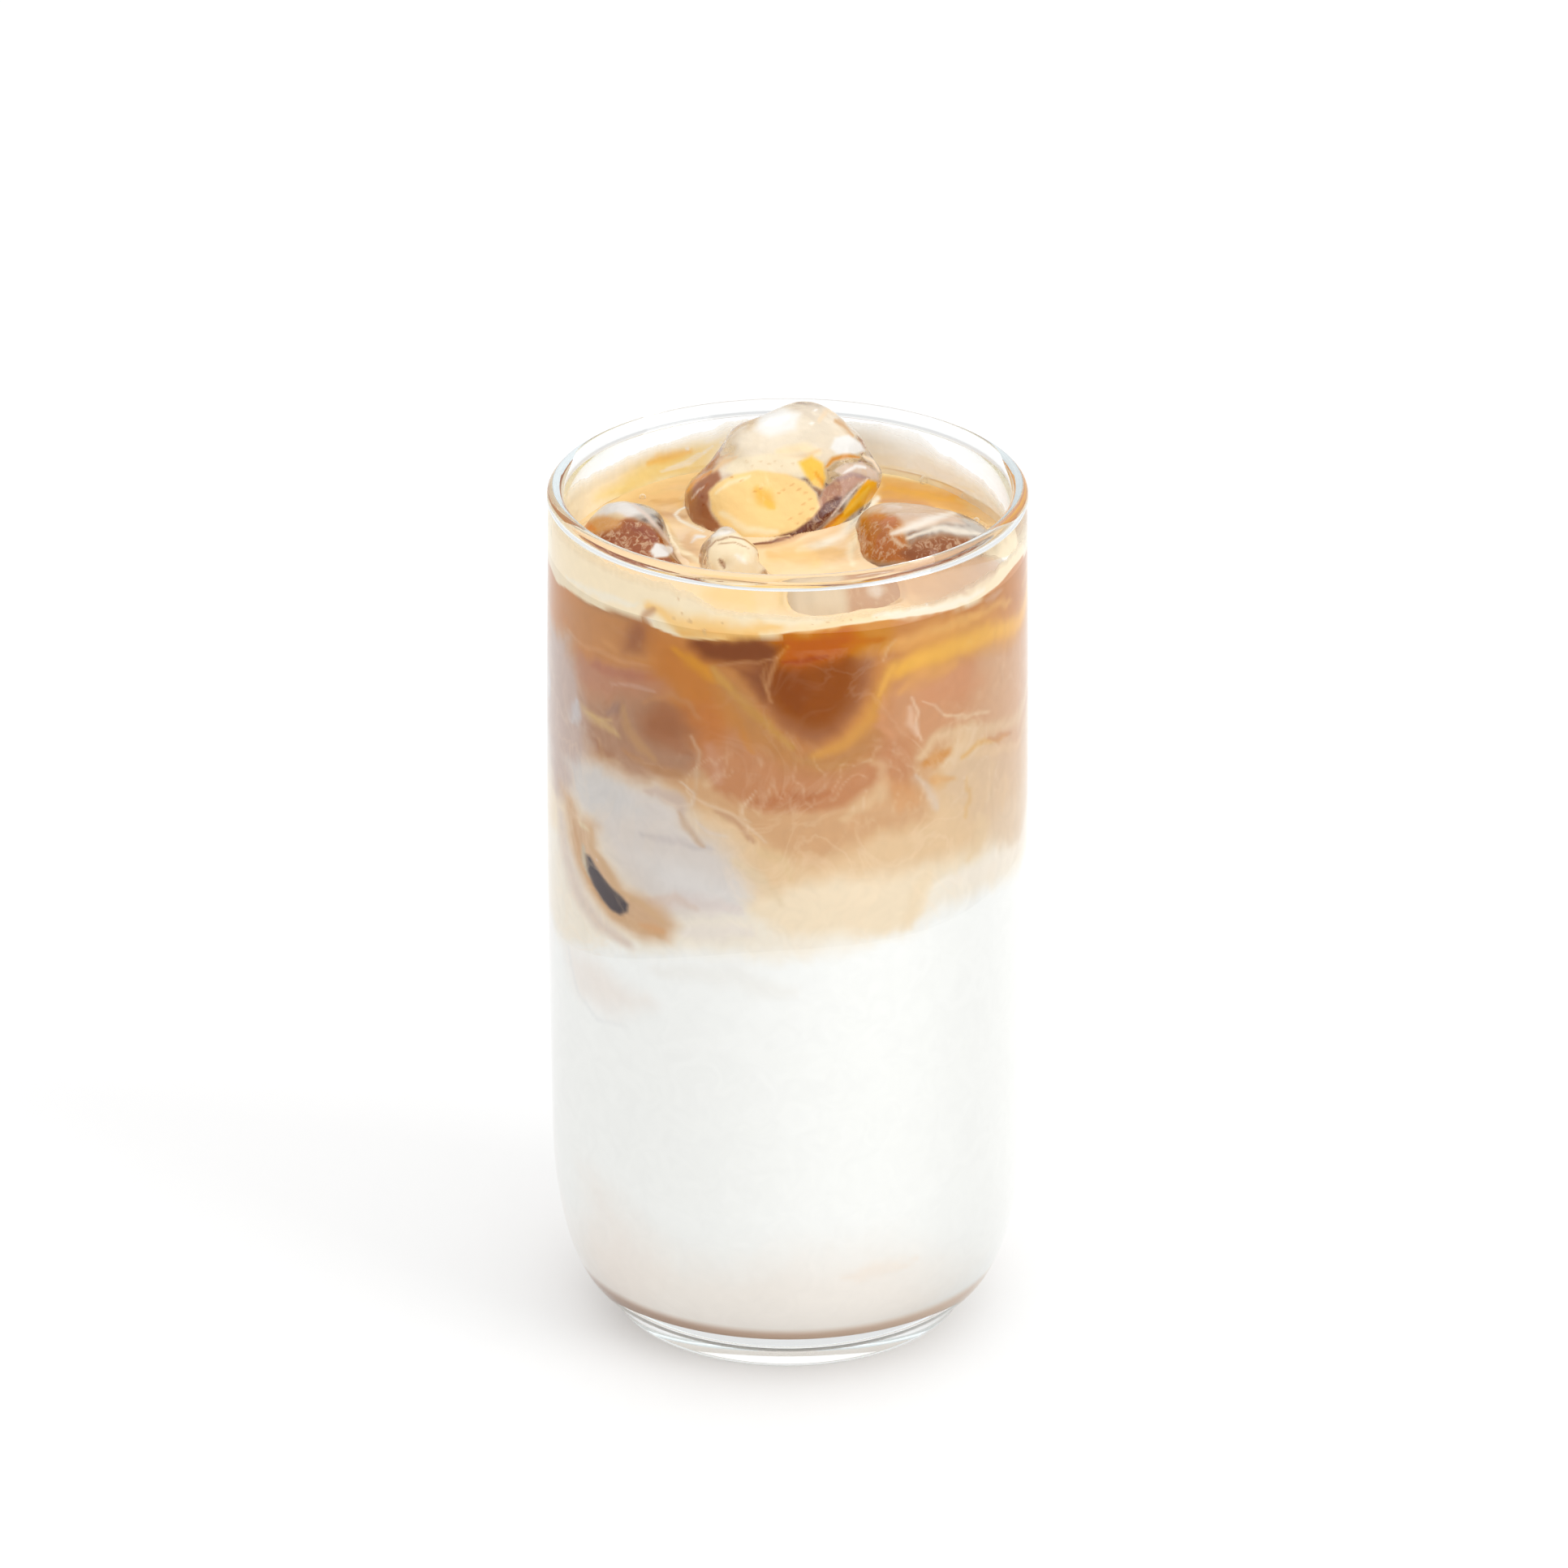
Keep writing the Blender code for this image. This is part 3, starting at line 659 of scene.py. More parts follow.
def coffee_bottom(turn, share):
    tongue = -4.0 * np.exp(-(((turn - 0.15) / 0.45) ** 2))
    tilt = 4.5 * np.sin(turn) + 1.4 * np.cos(2 * turn)
    return COFFEE_FOOT + share * (tongue + tilt) * MM


def crema_bottom(turn, share):
    return CREMA_FOOT + share * 0.3 * MM * np.sin(turn)


def shape_layer(piece, low, high, base, top):
    """Moves a turned body's vertices so that it lies between two uneven surfaces."""
    places = vertex_places(piece)
    turn = np.arctan2(places[:, 0], -places[:, 1])
    reach = np.array([liquid_radius(z) for z in places[:, 2]])
    share = np.clip(np.hypot(places[:, 0], places[:, 1]) / reach, 0.0, 1.0)
    rise = np.clip((places[:, 2] - base) / (top - base), 0.0, None)
    foot = base if low is None else low(turn, share)
    between = foot * (1.0 - rise) + high(turn, share) * rise
    level = np.where(places[:, 2] < base - 0.01 * MM, places[:, 2], between)
    new_reach = np.array([liquid_radius(z) for z in level])
    grow = np.where(places[:, 2] < CORNER_TOP, 1.0, new_reach / reach)
    places[:, 0] *= grow
    places[:, 1] *= grow
    places[:, 2] = level
    move_vertices(piece, places)


def ring_steps(reach, z, steps):
    return [(reach * step / steps, z) for step in range(steps)]


PALE_SMOKE = (0.86, 0.66, 0.46, 1.0)


def layer_profile(low, high, rows):
    """The side of a layer of drink between two heights, closed by rings at both ends."""
    under = ring_steps(liquid_radius(low), low, 8)
    over = list(reversed(ring_steps(liquid_radius(high), high, 8)))
    return under + wall_line(liquid_radius, low, high, rows) + over


def liquid_material(name, roughness, streaks, filaments=0.0, value=0.855):
    """Cloudy liquid: its painted colour, broken by fine streaks and pale smoky filaments."""
    material, tree, shader = new_material(name, {"Roughness": roughness})
    colour = add_node(tree, "VertexColor", layer_name="drink_colour")
    place = add_node(tree, "TexCoord").outputs["Object"]
    curl = add_node(tree, "TexNoise", {"Vector": place, "Scale": 260.0, "Detail": 1.5,
                                       "Roughness": 0.6, "Distortion": 1.6})
    swing = add_node(tree, "MapRange", {"Value": curl.outputs["Fac"], "From Min": 0.3,
                                        "From Max": 0.7, "To Min": value - streaks,
                                        "To Max": value + streaks})
    streaked = add_node(tree, "HueSaturation", {"Saturation": 1.04, "Color": colour.outputs[0],
                                                "Value": swing.outputs[0]})
    seen = streaked.outputs["Color"]
    if filaments:
        smoke = add_node(tree, "TexNoise", {"Vector": place, "Scale": 95.0, "Detail": 5.0,
                                            "Roughness": 0.55, "Distortion": 1.3})
        gap = maths(tree, "ABSOLUTE", maths(tree, "SUBTRACT", smoke.outputs["Fac"], 0.5))
        line = add_node(tree, "MapRange", {"Value": gap, "From Max": 0.05, "To Min": 1.0,
                                           "To Max": 0.0})
        patches = add_node(tree, "TexNoise", {"Vector": place, "Scale": 42.0, "Detail": 2.0})
        patch = add_node(tree, "MapRange", {"Value": patches.outputs["Fac"], "From Min": 0.42,
                                            "From Max": 0.62, "To Max": filaments})
        share = maths(tree, "MULTIPLY", line.outputs[0], patch.outputs[0])
        seen = add_node(tree, "Mix", {"Factor": share, "A": seen, "B": PALE_SMOKE},
                        data_type="RGBA").outputs["Result"]
    feed(tree, shader, {"Base Color": seen})
    return material, tree, shader



# Ice: five melting pieces from an ice maker, clear and wet, dipped in the drink. Their faces show
# cream film, frost and the coffee round them. Each is the CAD piece with its facets melted away.


def photo_pixels(places):
    """Where the photograph shows points that stand free of the glass."""
    offset = places - np.array(camera.location)
    depth = offset @ np.array(AHEAD)
    across = PHOTO_SIDE / 2 + offset[:, 0] / depth * FOCAL_PIXELS
    down = PHOTO_SIDE / 2 - (offset @ np.array(UPWARD)) / depth * FOCAL_PIXELS
    return np.column_stack((across, down))


def same_pixels(px, py):
    return px, py


ICE_LUMPS = {
    "ice_tall": ((912, 538, 6.0, 1.3), (846, 600, 4.0, 1.0), (1078, 588, 3.0, 0.8),
                 (1046, 550, 3.0, 0.6), (1062, 560, 2.0, -0.5), (900, 566, 3.0, -0.7),
                 (1020, 600, 3.0, -0.6), (945, 620, 7.0, -0.6)),
    "ice_left": ((842, 652, 4.5, -2.4), (850, 680, 3.0, -1.0), (745, 622, 5.0, 0.5)),
    "ice_right": ((1068, 628, 4.0, 0.4), (1125, 655, 3.0, -0.5)),
    "ice_front": ((895, 655, 2.0, 0.6), (892, 694, 1.5, -0.6), (940, 690, 1.5, -0.5),
                  (915, 680, 2.5, 0.4)),
    "ice_low": (),
}


def melted_copy(node, name, voxel, bump, swell):
    """A smooth copy of a CAD piece of ice, with its facets melted and its face uneven."""
    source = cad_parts[node]
    piece = bpy.data.objects.new(name, source.data.copy())
    piece.data.name = name
    bpy.context.scene.collection.objects.link(piece)
    pick(piece)
    bpy.ops.object.mode_set(mode="EDIT")
    bpy.ops.mesh.select_all(action="SELECT")
    bpy.ops.mesh.remove_doubles(threshold=0.01 * MM)
    bpy.ops.object.mode_set(mode="OBJECT")
    facets = piece.modifiers.new("even_faces", "REMESH")
    facets.mode = "VOXEL"
    facets.voxel_size = voxel
    bpy.ops.object.modifier_apply(modifier="even_faces")
    melt = piece.modifiers.new("melt", "SMOOTH")
    melt.factor = 0.5
    melt.iterations = int(8 * (0.6 * MM / voxel) ** 2)
    bpy.ops.object.modifier_apply(modifier="melt")
    bpy.ops.object.shade_smooth()
    places = vertex_places(piece)
    normals = vertex_normals(piece)
    uneven = np.array([noise.fractal(Vector(p) * 260.0, 0.8, 2.2, 3) for p in places])
    places += normals * (uneven * bump + swell)[:, None]
    pixels = photo_pixels(places)
    for px, py, reach, height in ICE_LUMPS[node]:
        away = np.hypot(pixels[:, 0] - px, pixels[:, 1] - py) / (reach * PHOTO_PIXELS_PER_MM)
        lump = np.exp(-2.5 * away ** 2) * np.clip(2.0 - normals @ np.array(AHEAD) * 2.0, 0, 1)
        places += normals * (lump * height * MM)[:, None]
    places[:, 2] = np.minimum(places[:, 2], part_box(node)[1].z)
    move_vertices(piece, places)
    piece.data.materials.clear()
    return piece


ICE_NODES = ("ice_tall", "ice_left", "ice_right", "ice_front", "ice_low")
POCKET_GRIP = 0.1 * MM
ice_pieces = {}
for node in ICE_NODES:
    ice_pieces[node] = melted_copy(node, "melting_" + node, 0.32 * MM, 0.16 * MM, 0.12 * MM)
cutters = [melted_copy(node, node + "_cutter", 0.7 * MM, 0.16 * MM, 0.12 * MM - POCKET_GRIP)
           for node in ICE_NODES]
pick(*cutters)
bpy.ops.object.join()
pocket_cutter = bpy.context.object

FROST_TAN = (0.72, 0.48, 0.3, 1.0)
CLEAR_ICE = (0.93, 0.94, 0.95, 1.0)
ice_material, tree, shader = new_material("wet_ice", {
    "Roughness": 0.035, "IOR": 1.31, "Transmission Weight": 1.0})
place = add_node(tree, "TexCoord").outputs["Object"]
dimples = add_node(tree, "TexNoise", {"Vector": place, "Scale": 420.0, "Detail": 4.0})
melt_bump = add_node(tree, "Bump", {"Height": dimples.outputs["Fac"], "Strength": 0.35,
                                    "Distance": 0.4 * MM})
feed(tree, shader, {"Normal": melt_bump.outputs["Normal"]})
film_colour = add_node(tree, "VertexColor", layer_name="drink_colour")
frost_amount = add_node(tree, "Attribute", attribute_name="frost")
frost_grain = add_node(tree, "TexNoise", {"Vector": place, "Scale": 900.0, "Detail": 8.0,
                                          "Roughness": 0.72, "Distortion": 0.8})
frost_edge = add_node(tree, "MapRange", {"Value": frost_grain.outputs["Fac"], "From Min": 0.5,
                                         "From Max": 0.6})
frost = maths(tree, "MULTIPLY", frost_edge.outputs[0], frost_amount.outputs["Fac"])
frosted = add_node(tree, "Mix", {"Factor": frost, "A": film_colour.outputs["Color"],
                                 "B": FROST_TAN}, data_type="RGBA")
film_strength = add_node(tree, "HueSaturation", {"Color": frosted.outputs["Result"],
                                                 "Value": 0.9, "Saturation": 1.06})
film = add_node(tree, "BsdfPrincipled", {"Base Color": film_strength.outputs["Color"],
                                         "Normal": melt_bump.outputs["Normal"],
                                         "Roughness": 0.22})
flat_light = add_node(tree, "BsdfTransparent", {"Color": CLEAR_ICE})
unbent = unbent_light(tree)
clear_ice = layered(tree, unbent, shader, flat_light)
let_through = maths(tree, "MULTIPLY_ADD", unbent, -0.6, 1.0)
film_cover = maths(tree, "MULTIPLY", let_through, film_colour.outputs["Alpha"])
show(tree, layered(tree, film_cover, clear_ice, film))

ICE_CREAM = tone(253, 216, 150)
FROST = tone(236, 234, 230)
ICE_AMBER = tone(250, 180, 56)

ice_sheets = {node: PaintSheet(same_pixels, PHOTO_PIXELS_PER_MM) for node in ICE_NODES}
tall = ice_sheets["ice_tall"]
tall.wash(tone(246, 232, 208), 0.9, 0.72, (872, 590), (900, 556), (925, 524), (955, 502),
          (1000, 496), (1030, 508), (1056, 536), (1040, 560), (1000, 585), (930, 585))
tall.wash(tone(240, 238, 234), 0.7, 0.9, (930, 530), (938, 510), (965, 502), (985, 510),
          (980, 530), (950, 538), wisp=0.6)
# Painted highlight: the white gleam on the ice's top.
tall.plume(tone(252, 251, 248), 1.6, 0.9, (945, 522), (970, 514), wisp=0.3)
tall.plume(tone(240, 236, 230), 0.5, 0.9, (1002, 508), (1006, 506))
tall.plume(tone(246, 240, 232), 0.6, 0.9, (998, 523), (1001, 522))
tall.plume(tone(248, 224, 178), 1.8, 0.7, (960, 556), (990, 552), (1008, 560))
tall.plume(tone(230, 196, 152), 1.0, 0.6, (960, 562), (990, 564), (1010, 556))
tall.plume(tone(236, 206, 166), 1.0, 0.6, (1008, 520), (1020, 508), (1030, 512))
tall.plume(tone(202, 156, 106), 1.0, 0.9, (1030, 520), (1040, 526), (1050, 538))
tall.wash(tone(236, 234, 230), 0.3, 0.92, (1022, 552), (1028, 540), (1046, 536), (1060, 546),
          (1066, 556), (1052, 560), (1034, 562), wisp=0.4)
tall.plume(tone(206, 130, 44), 0.9, 0.95, (1018, 576), (1026, 566), (1042, 562), (1058, 563),
           wisp=0.3)
tall.plume(tone(244, 216, 180), 0.8, 0.9, (1064, 562), (1076, 568), (1084, 582), wisp=0.3)
tall.wash(tone(214, 188, 168), 0.3, 0.85, (1026, 580), (1040, 570), (1060, 568), (1080, 580),
          (1086, 596), (1072, 600), (1050, 592), fleck=0.5)
tall.wash(tone(178, 126, 100), 0.35, 0.9, (1004, 626), (1014, 604), (1028, 590), (1046, 582),
          (1066, 588), (1054, 600), (1036, 618), (1016, 642), (1000, 654), fleck=0.5)
tall.plume(tone(150, 118, 112), 0.9, 0.7, (1030, 592), (1050, 584), (1070, 590), wisp=0.3)
tall.plume(tone(240, 236, 232), 0.7, 0.9, (1040, 582), (1054, 574), (1066, 576), wisp=0.5)
tall.wash(tone(158, 96, 62), 0.35, 0.92, (840, 624), (846, 602), (862, 586), (884, 576),
          (890, 588), (878, 600), (872, 618), (880, 634), (890, 648), (876, 656), (852, 644))
tall.plume(tone(226, 150, 66), 0.9, 0.95, (846, 606), (856, 592), (876, 580), wisp=0.3)
tall.plume(tone(172, 92, 44), 0.6, 0.7, (850, 620), (860, 606), (872, 596), wisp=0.3)
tall.plume(tone(240, 222, 206), 0.4, 0.8, (852, 614), (860, 604), (868, 598), wisp=0.5)
tall.plume(tone(140, 60, 30), 0.35, 0.8, (864, 610), (867, 612), wisp=0.1)
tall.plume(tone(140, 60, 30), 0.35, 0.8, (866, 621), (868, 622), wisp=0.1)
tall.plume(tone(232, 194, 148), 1.3, 0.85, (880, 578), (892, 568), (906, 562))
tall.plume(tone(214, 166, 118), 0.3, 0.7, (884, 566), (896, 560), (905, 558), wisp=0.1)
tall.wash(tone(246, 230, 198), 0.4, 0.85, (892, 580), (905, 564), (950, 558), (1000, 566),
          (1006, 584), (985, 590), (940, 582), (905, 586), wisp=0.4)
for px in (918, 926, 936, 946, 954, 962, 976, 984):
    tall.plume(tone(226, 200, 160), 0.35, 0.7, (px, 568 + (px % 3) * 3),
               (px + 3, 569 + (px % 3) * 3), wisp=0.1)
tall.wash(ICE_CREAM, 0.3, 1.0, (873, 606), (884, 594), (905, 584), (935, 579), (968, 584),
          (992, 593), (1006, 608), (1010, 626), (1004, 642), (988, 656), (962, 666), (934, 668),
          (905, 660), (888, 646), (877, 628), wisp=0.35)
tall.plume(tone(250, 192, 92), 2.8, 0.9, (934, 604), (950, 620), wisp=0.5)
tall.plume(tone(252, 196, 92), 1.2, 0.8, (944, 618), (954, 626), wisp=0.4)
tall.plume(tone(255, 242, 208), 1.4, 0.6, (890, 630), (920, 650), (960, 655))
tall.plume(tone(255, 240, 204), 0.8, 0.6, (884, 606), (900, 594), (925, 586))
for px, py in ((982, 604), (990, 608), (996, 616), (988, 622), (998, 628), (984, 634),
               (994, 640), (980, 646), (986, 652), (972, 640), (974, 598)):
    tall.plume(tone(222, 168, 104), 0.35, 0.65, (px, py), (px + 5, py - 2), wisp=0.1)
for px, py in ((928, 606), (936, 602), (900, 588), (912, 592), (958, 608), (964, 604)):
    tall.plume(tone(214, 152, 84), 0.3, 0.65, (px, py), (px + 4, py - 1), wisp=0.1)
tall.wash(tone(250, 198, 84), 0.4, 0.95, (984, 570), (1000, 562), (1014, 572), (1018, 590),
          (1012, 604), (1000, 598), (992, 586), wisp=0.4)
tall.plume(tone(232, 156, 44), 0.7, 0.8, (1004, 582), (1012, 594), (1014, 602), wisp=0.3)
tall.wash(ICE_AMBER, 0.25, 0.97, (1000, 668), (1018, 650), (1036, 634), (1050, 614), (1060, 600),
          (1068, 590), (1080, 594), (1082, 608), (1066, 622), (1046, 638), (1020, 660), wisp=0.25)
tall.plume(tone(255, 206, 96), 0.8, 0.8, (1070, 600), (1058, 616), (1040, 634), wisp=0.3)
tall.plume(tone(206, 112, 20), 0.7, 0.8, (1002, 664), (1022, 646), (1038, 632), wisp=0.3)
tall.wash(tone(96, 44, 26), 0.25, 0.95, (922, 670), (950, 664), (980, 654), (1002, 638),
          (1016, 620), (1030, 612), (1040, 612), (1034, 624), (1016, 644), (996, 662), (972, 674),
          (945, 680), wisp=0.25, fleck=0.35)
tall.plume(tone(232, 214, 200), 0.45, 0.9, (1068, 590), (1054, 602), (1040, 618), (1024, 636),
           wisp=0.3)
tall.plume(tone(150, 76, 30), 0.8, 0.6, (990, 668), (966, 676), (942, 680), wisp=0.3)

left = ice_sheets["ice_left"]
left.wash(tone(144, 66, 12), 0.6, 0.95, (700, 645), (740, 636), (770, 634), (800, 646), (822, 664),
          (845, 692), (830, 705), (780, 700), (740, 690), (700, 670), fleck=0.8)
left.wash(tone(228, 178, 112), 0.7, 0.75, (700, 648), (716, 634), (745, 634), (770, 638),
          (764, 652), (735, 660), (705, 656), wisp=0.8)
left.wash(tone(232, 226, 220), 0.5, 0.85, (706, 640), (722, 624), (745, 614), (772, 617),
          (794, 632), (775, 640), (745, 636), (720, 640), wisp=0.6)
left.plume(tone(214, 130, 50), 1.4, 0.9, (716, 644), (732, 652), wisp=0.5)
left.plume(tone(222, 194, 150), 1.0, 0.7, (752, 636), (770, 640))
left.plume(tone(216, 194, 178), 0.8, 0.9, (776, 618), (796, 634), (812, 652), (828, 672),
           (846, 690), wisp=0.3)
left.plume(tone(130, 52, 12), 2.0, 0.75, (782, 652), (806, 664), (812, 682), fleck=0.3)
left.plume(tone(176, 142, 110), 1.2, 0.8, (822, 682), (840, 690))
left.wash(FROST, 0.25, 0.95, (800, 680), (808, 668), (824, 672), (834, 676), (822, 686),
          (806, 688), wisp=0.4)

right = ice_sheets["ice_right"]
right.wash(tone(218, 182, 150), 0.6, 0.85, (1056, 636), (1085, 618), (1130, 616), (1172, 628),
           (1190, 645), (1130, 652), (1080, 648))
right.plume(tone(228, 212, 198), 1.0, 0.7, (1066, 628), (1090, 620), (1110, 624))
right.wash(tone(176, 96, 30), 0.6, 0.95, (1052, 652), (1070, 634), (1100, 634), (1112, 648),
           (1118, 668), (1122, 692), (1080, 692), (1054, 680), fleck=0.75)
right.plume(tone(202, 112, 34), 1.4, 0.7, (1064, 640), (1080, 636), (1098, 640))
right.plume(tone(186, 98, 28), 1.8, 0.6, (1072, 664), (1092, 668), fleck=0.4)
right.wash(tone(136, 72, 30), 0.7, 0.95, (1108, 680), (1130, 664), (1160, 660), (1195, 664),
           (1205, 672), (1185, 690), (1130, 702), fleck=0.6)
right.plume(tone(240, 230, 216), 1.5, 0.9, (1098, 656), (1118, 650), (1150, 640), (1176, 632),
            wisp=0.6)
right.plume(tone(236, 224, 206), 1.1, 0.85, (1118, 662), (1150, 652), (1190, 656), (1210, 658))
right.plume(tone(232, 222, 208), 0.8, 0.7, (1100, 660), (1112, 672))

front = ice_sheets["ice_front"]
front.wash(tone(250, 230, 192), 0.4, 0.85, (872, 672), (885, 656), (912, 656), (935, 672),
           (946, 696), (930, 712), (880, 712), (870, 692))
front.plume(tone(244, 238, 226), 1.2, 0.8, (908, 684), (918, 694), wisp=0.5)
front.plume(tone(150, 108, 76), 0.3, 0.85, (872, 690), (871, 676), (882, 666), (900, 661),
            (918, 665), (932, 676), (943, 692), wisp=0.3)
front.plume(tone(170, 130, 94), 0.25, 0.7, (884, 670), (905, 668), (922, 676), wisp=0.4)
front.plume(tone(124, 78, 48), 0.7, 0.85, (886, 690), (892, 698), wisp=0.6, fleck=0.6)
front.plume(tone(124, 78, 48), 0.6, 0.85, (934, 684), (942, 696), wisp=0.6, fleck=0.6)
front.plume(tone(240, 234, 226), 0.9, 0.9, (878, 660), (900, 655), wisp=0.3)

low = ice_sheets["ice_low"]
low.wash(tone(232, 203, 166), 1.0, 0.85, (930, 700), (1140, 690), (1160, 790), (930, 790))
low.wash(tone(192, 142, 106), 1.0, 0.8, (1040, 712), (1060, 694), (1100, 696), (1130, 720),
         (1120, 765), (1045, 765), fleck=0.6)
low.plume(tone(240, 232, 220), 1.0, 0.6, (1060, 735), (1080, 740), (1100, 730))

for node in ICE_NODES:
    piece = ice_pieces[node]
    places = vertex_places(piece)
    drift, bent = drifts(places, 0.35, 0.25)
    clear_ground = np.tile(np.array((0.92, 0.88, 0.82, 0.0, 0.0)), (len(places), 1))
    clear_ground[:, 3] = np.clip(0.25 + drift[:, 0] * 2.0, 0.05, 0.6)
    painted = ice_sheets[node].paint(photo_pixels(places), drift, clear_ground)
    facing = -(vertex_normals(piece) @ np.array(AHEAD))
    shown = np.clip(facing * 6.0 + 0.5, 0.0, 1.0)[:, None]
    give_colours(piece, clear_ground * (1.0 - shown) + painted * shown)
    piece.data.materials.append(ice_material)
    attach(piece, "root")
    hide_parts(node)

# Milk: cold whole milk, the heavy white lower layer. It fills the rounded bottom of the tumbler.
MILK_CORNER = (FLOOR[0], FLOOR[1] - INTO_WALL)
milk_profile = ring_steps(*MILK_CORNER, 6) + [MILK_CORNER]
milk_profile += rounded_corner(MILK_CORNER, inner_radius(CORNER_TOP) + INTO_WALL, 34)
milk_profile += wall_line(liquid_radius, CORNER_TOP, MILK_LEVEL, 52)
milk_profile += list(reversed(ring_steps(liquid_radius(MILK_LEVEL), MILK_LEVEL, 10)))
milk = spun_piece("cold_milk", milk_profile, 360)
shape_layer(milk, None, milk_top, CORNER_TOP, MILK_LEVEL)
places = vertex_places(milk)
colours = paint_on_wall(places)
# A brown band round the milk's foot, a little above the glass's floor; its darker colour towards
# the left is painted shade, on the side away from the lamp.
foot_band = np.clip((8.5 * MM - places[:, 2]) / (1.1 * MM), 0.0, 1.0)
foot_band *= np.clip((np.hypot(places[:, 0], places[:, 1]) - FLOOR[0]) / (0.8 * MM), 0.0, 1.0)
left_shade = np.clip(0.5 - places[:, 0] / (50 * MM), 0.0, 1.0)[:, None]
line_colour = tone(222, 194, 172) * (1.0 - left_shade) + tone(190, 158, 138) * left_shade
colours[:, :3] += (line_colour - colours[:, :3]) * foot_band[:, None]
give_colours(milk, colours)
milk_material, tree, shader = liquid_material("cold_milk", 0.5, 0.012, value=0.885)
feed(tree, shader, {"Specular IOR Level": 0.0})
milk.data.materials.append(milk_material)
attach(milk, "root")
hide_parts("milk")

# Swirled latte: milk and coffee half mixed, cloudy and brown, with threads of both. It forms by
# itself where the coffee sinks into the milk.
latte = spun_piece("swirled_latte", layer_profile(MILK_LEVEL, COFFEE_FOOT, 92), 560)
shape_layer(latte, milk_top, coffee_bottom, MILK_LEVEL, COFFEE_FOOT)
latte_material, tree, shader = liquid_material("swirled_latte", 0.5, 0.025, 0.15)
feed(tree, shader, {"Specular IOR Level": 0.0})
latte.data.materials.append(latte_material)
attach(latte, "root")
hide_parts("latte_swirl")

# Coffee: the dark upper layer, espresso thinned by melted ice. It floats on the milk it was poured
# over, and its tongue hangs down at the front.
coffee = spun_piece("dark_coffee", layer_profile(COFFEE_FOOT, CREMA_FOOT, 56), 560)
shape_layer(coffee, coffee_bottom, crema_bottom, COFFEE_FOOT, CREMA_FOOT)
coffee_material, tree, shader = liquid_material("dark_coffee", 0.5, 0.03, 0.07)
feed(tree, shader, {"Specular IOR Level": 0.0})
coffee.data.materials.append(coffee_material)
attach(coffee, "root")
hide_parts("coffee")

# Crema and surface: a pale creamy skin over the coffee, wet and glossy, drawn up in lips round the
# ice and against the wall, with tan and amber coffee showing at the back.
def lifted_surface(places, trees):
    """The height of the drink's surface, with swells and the lips where it wets ice and wall."""
    x, y = places[:, 0], places[:, 1]
    swell = 0.2 * MM * np.sin(220 * x + 1.0) * np.cos(180 * y - 0.4)
    ripples = np.array([noise.noise(Vector(p) * 330.0) for p in places]) * 0.07 * MM
    wall_gap = np.maximum(0.0, inner_radius(LEVEL) - np.hypot(x, y))
    lip = 0.75 * MM * np.exp(-wall_gap / (0.7 * MM))
    nearest = np.full(len(places), 1.0)
    for index, place in enumerate(places):
        for ice_tree in trees:
            nearest[index] = min(nearest[index], ice_tree.find_nearest(Vector(place))[3])
    return LEVEL + swell + ripples + lip + 0.7 * MM * np.exp(-nearest / (0.6 * MM))


def cut_by_ice(piece):
    """Cuts the ice's pockets; each cutter is a hair smaller, so no air shows at the ice."""
    pick(piece)
    cut = piece.modifiers.new("pockets", "BOOLEAN")
    cut.operation = "DIFFERENCE"
    cut.solver = "EXACT"
    cut.object = pocket_cutter
    bpy.ops.object.modifier_apply(modifier="pockets")


depsgraph = bpy.context.evaluated_depsgraph_get()
ice_trees = [BVHTree.FromObject(ice_pieces[node], depsgraph) for node in ICE_NODES]
CREMA_START = 114.25 * MM
crema_profile = ring_steps(liquid_radius(LEVEL), CREMA_START, 8)
crema_profile += wall_line(liquid_radius, CREMA_START, LEVEL, 6)
crema_profile += list(reversed(ring_steps(liquid_radius(LEVEL), LEVEL, 88)))
crema = spun_piece("pale_crema", crema_profile, 400)
shape_layer(crema, crema_bottom, lambda turn, share: LEVEL + 0.0 * turn, CREMA_START, LEVEL)
places = vertex_places(crema)
on_top = places[:, 2] > LEVEL - 0.01 * MM
places[on_top, 2] = lifted_surface(places[on_top], ice_trees)
move_vertices(crema, places)
cut_by_ice(crema)

skin = PaintSheet(same_pixels, PHOTO_PIXELS_PER_MM)
SKIN = tone(252, 217, 170)
skin.wash(tone(255, 222, 152), 2.0, 0.6, (690, 640), (760, 600), (860, 575), (960, 560),
          (1100, 565), (1250, 640), (1250, 660), (1100, 640), (960, 620), (840, 650), (760, 640))
skin.wash(tone(238, 194, 136), 1.0, 1.0, (758, 622), (786, 608), (822, 598), (858, 588),
          (880, 584), (860, 640), (838, 646), (812, 642), (790, 632), wisp=0.8)
skin.plume(tone(208, 154, 94), 1.0, 0.8, (786, 624), (815, 632), (846, 636))
skin.plume(tone(212, 162, 102), 0.7, 0.6, (800, 616), (826, 620), (846, 618))
skin.plume(tone(236, 198, 138), 0.8, 0.6, (790, 610), (820, 606), (850, 598))
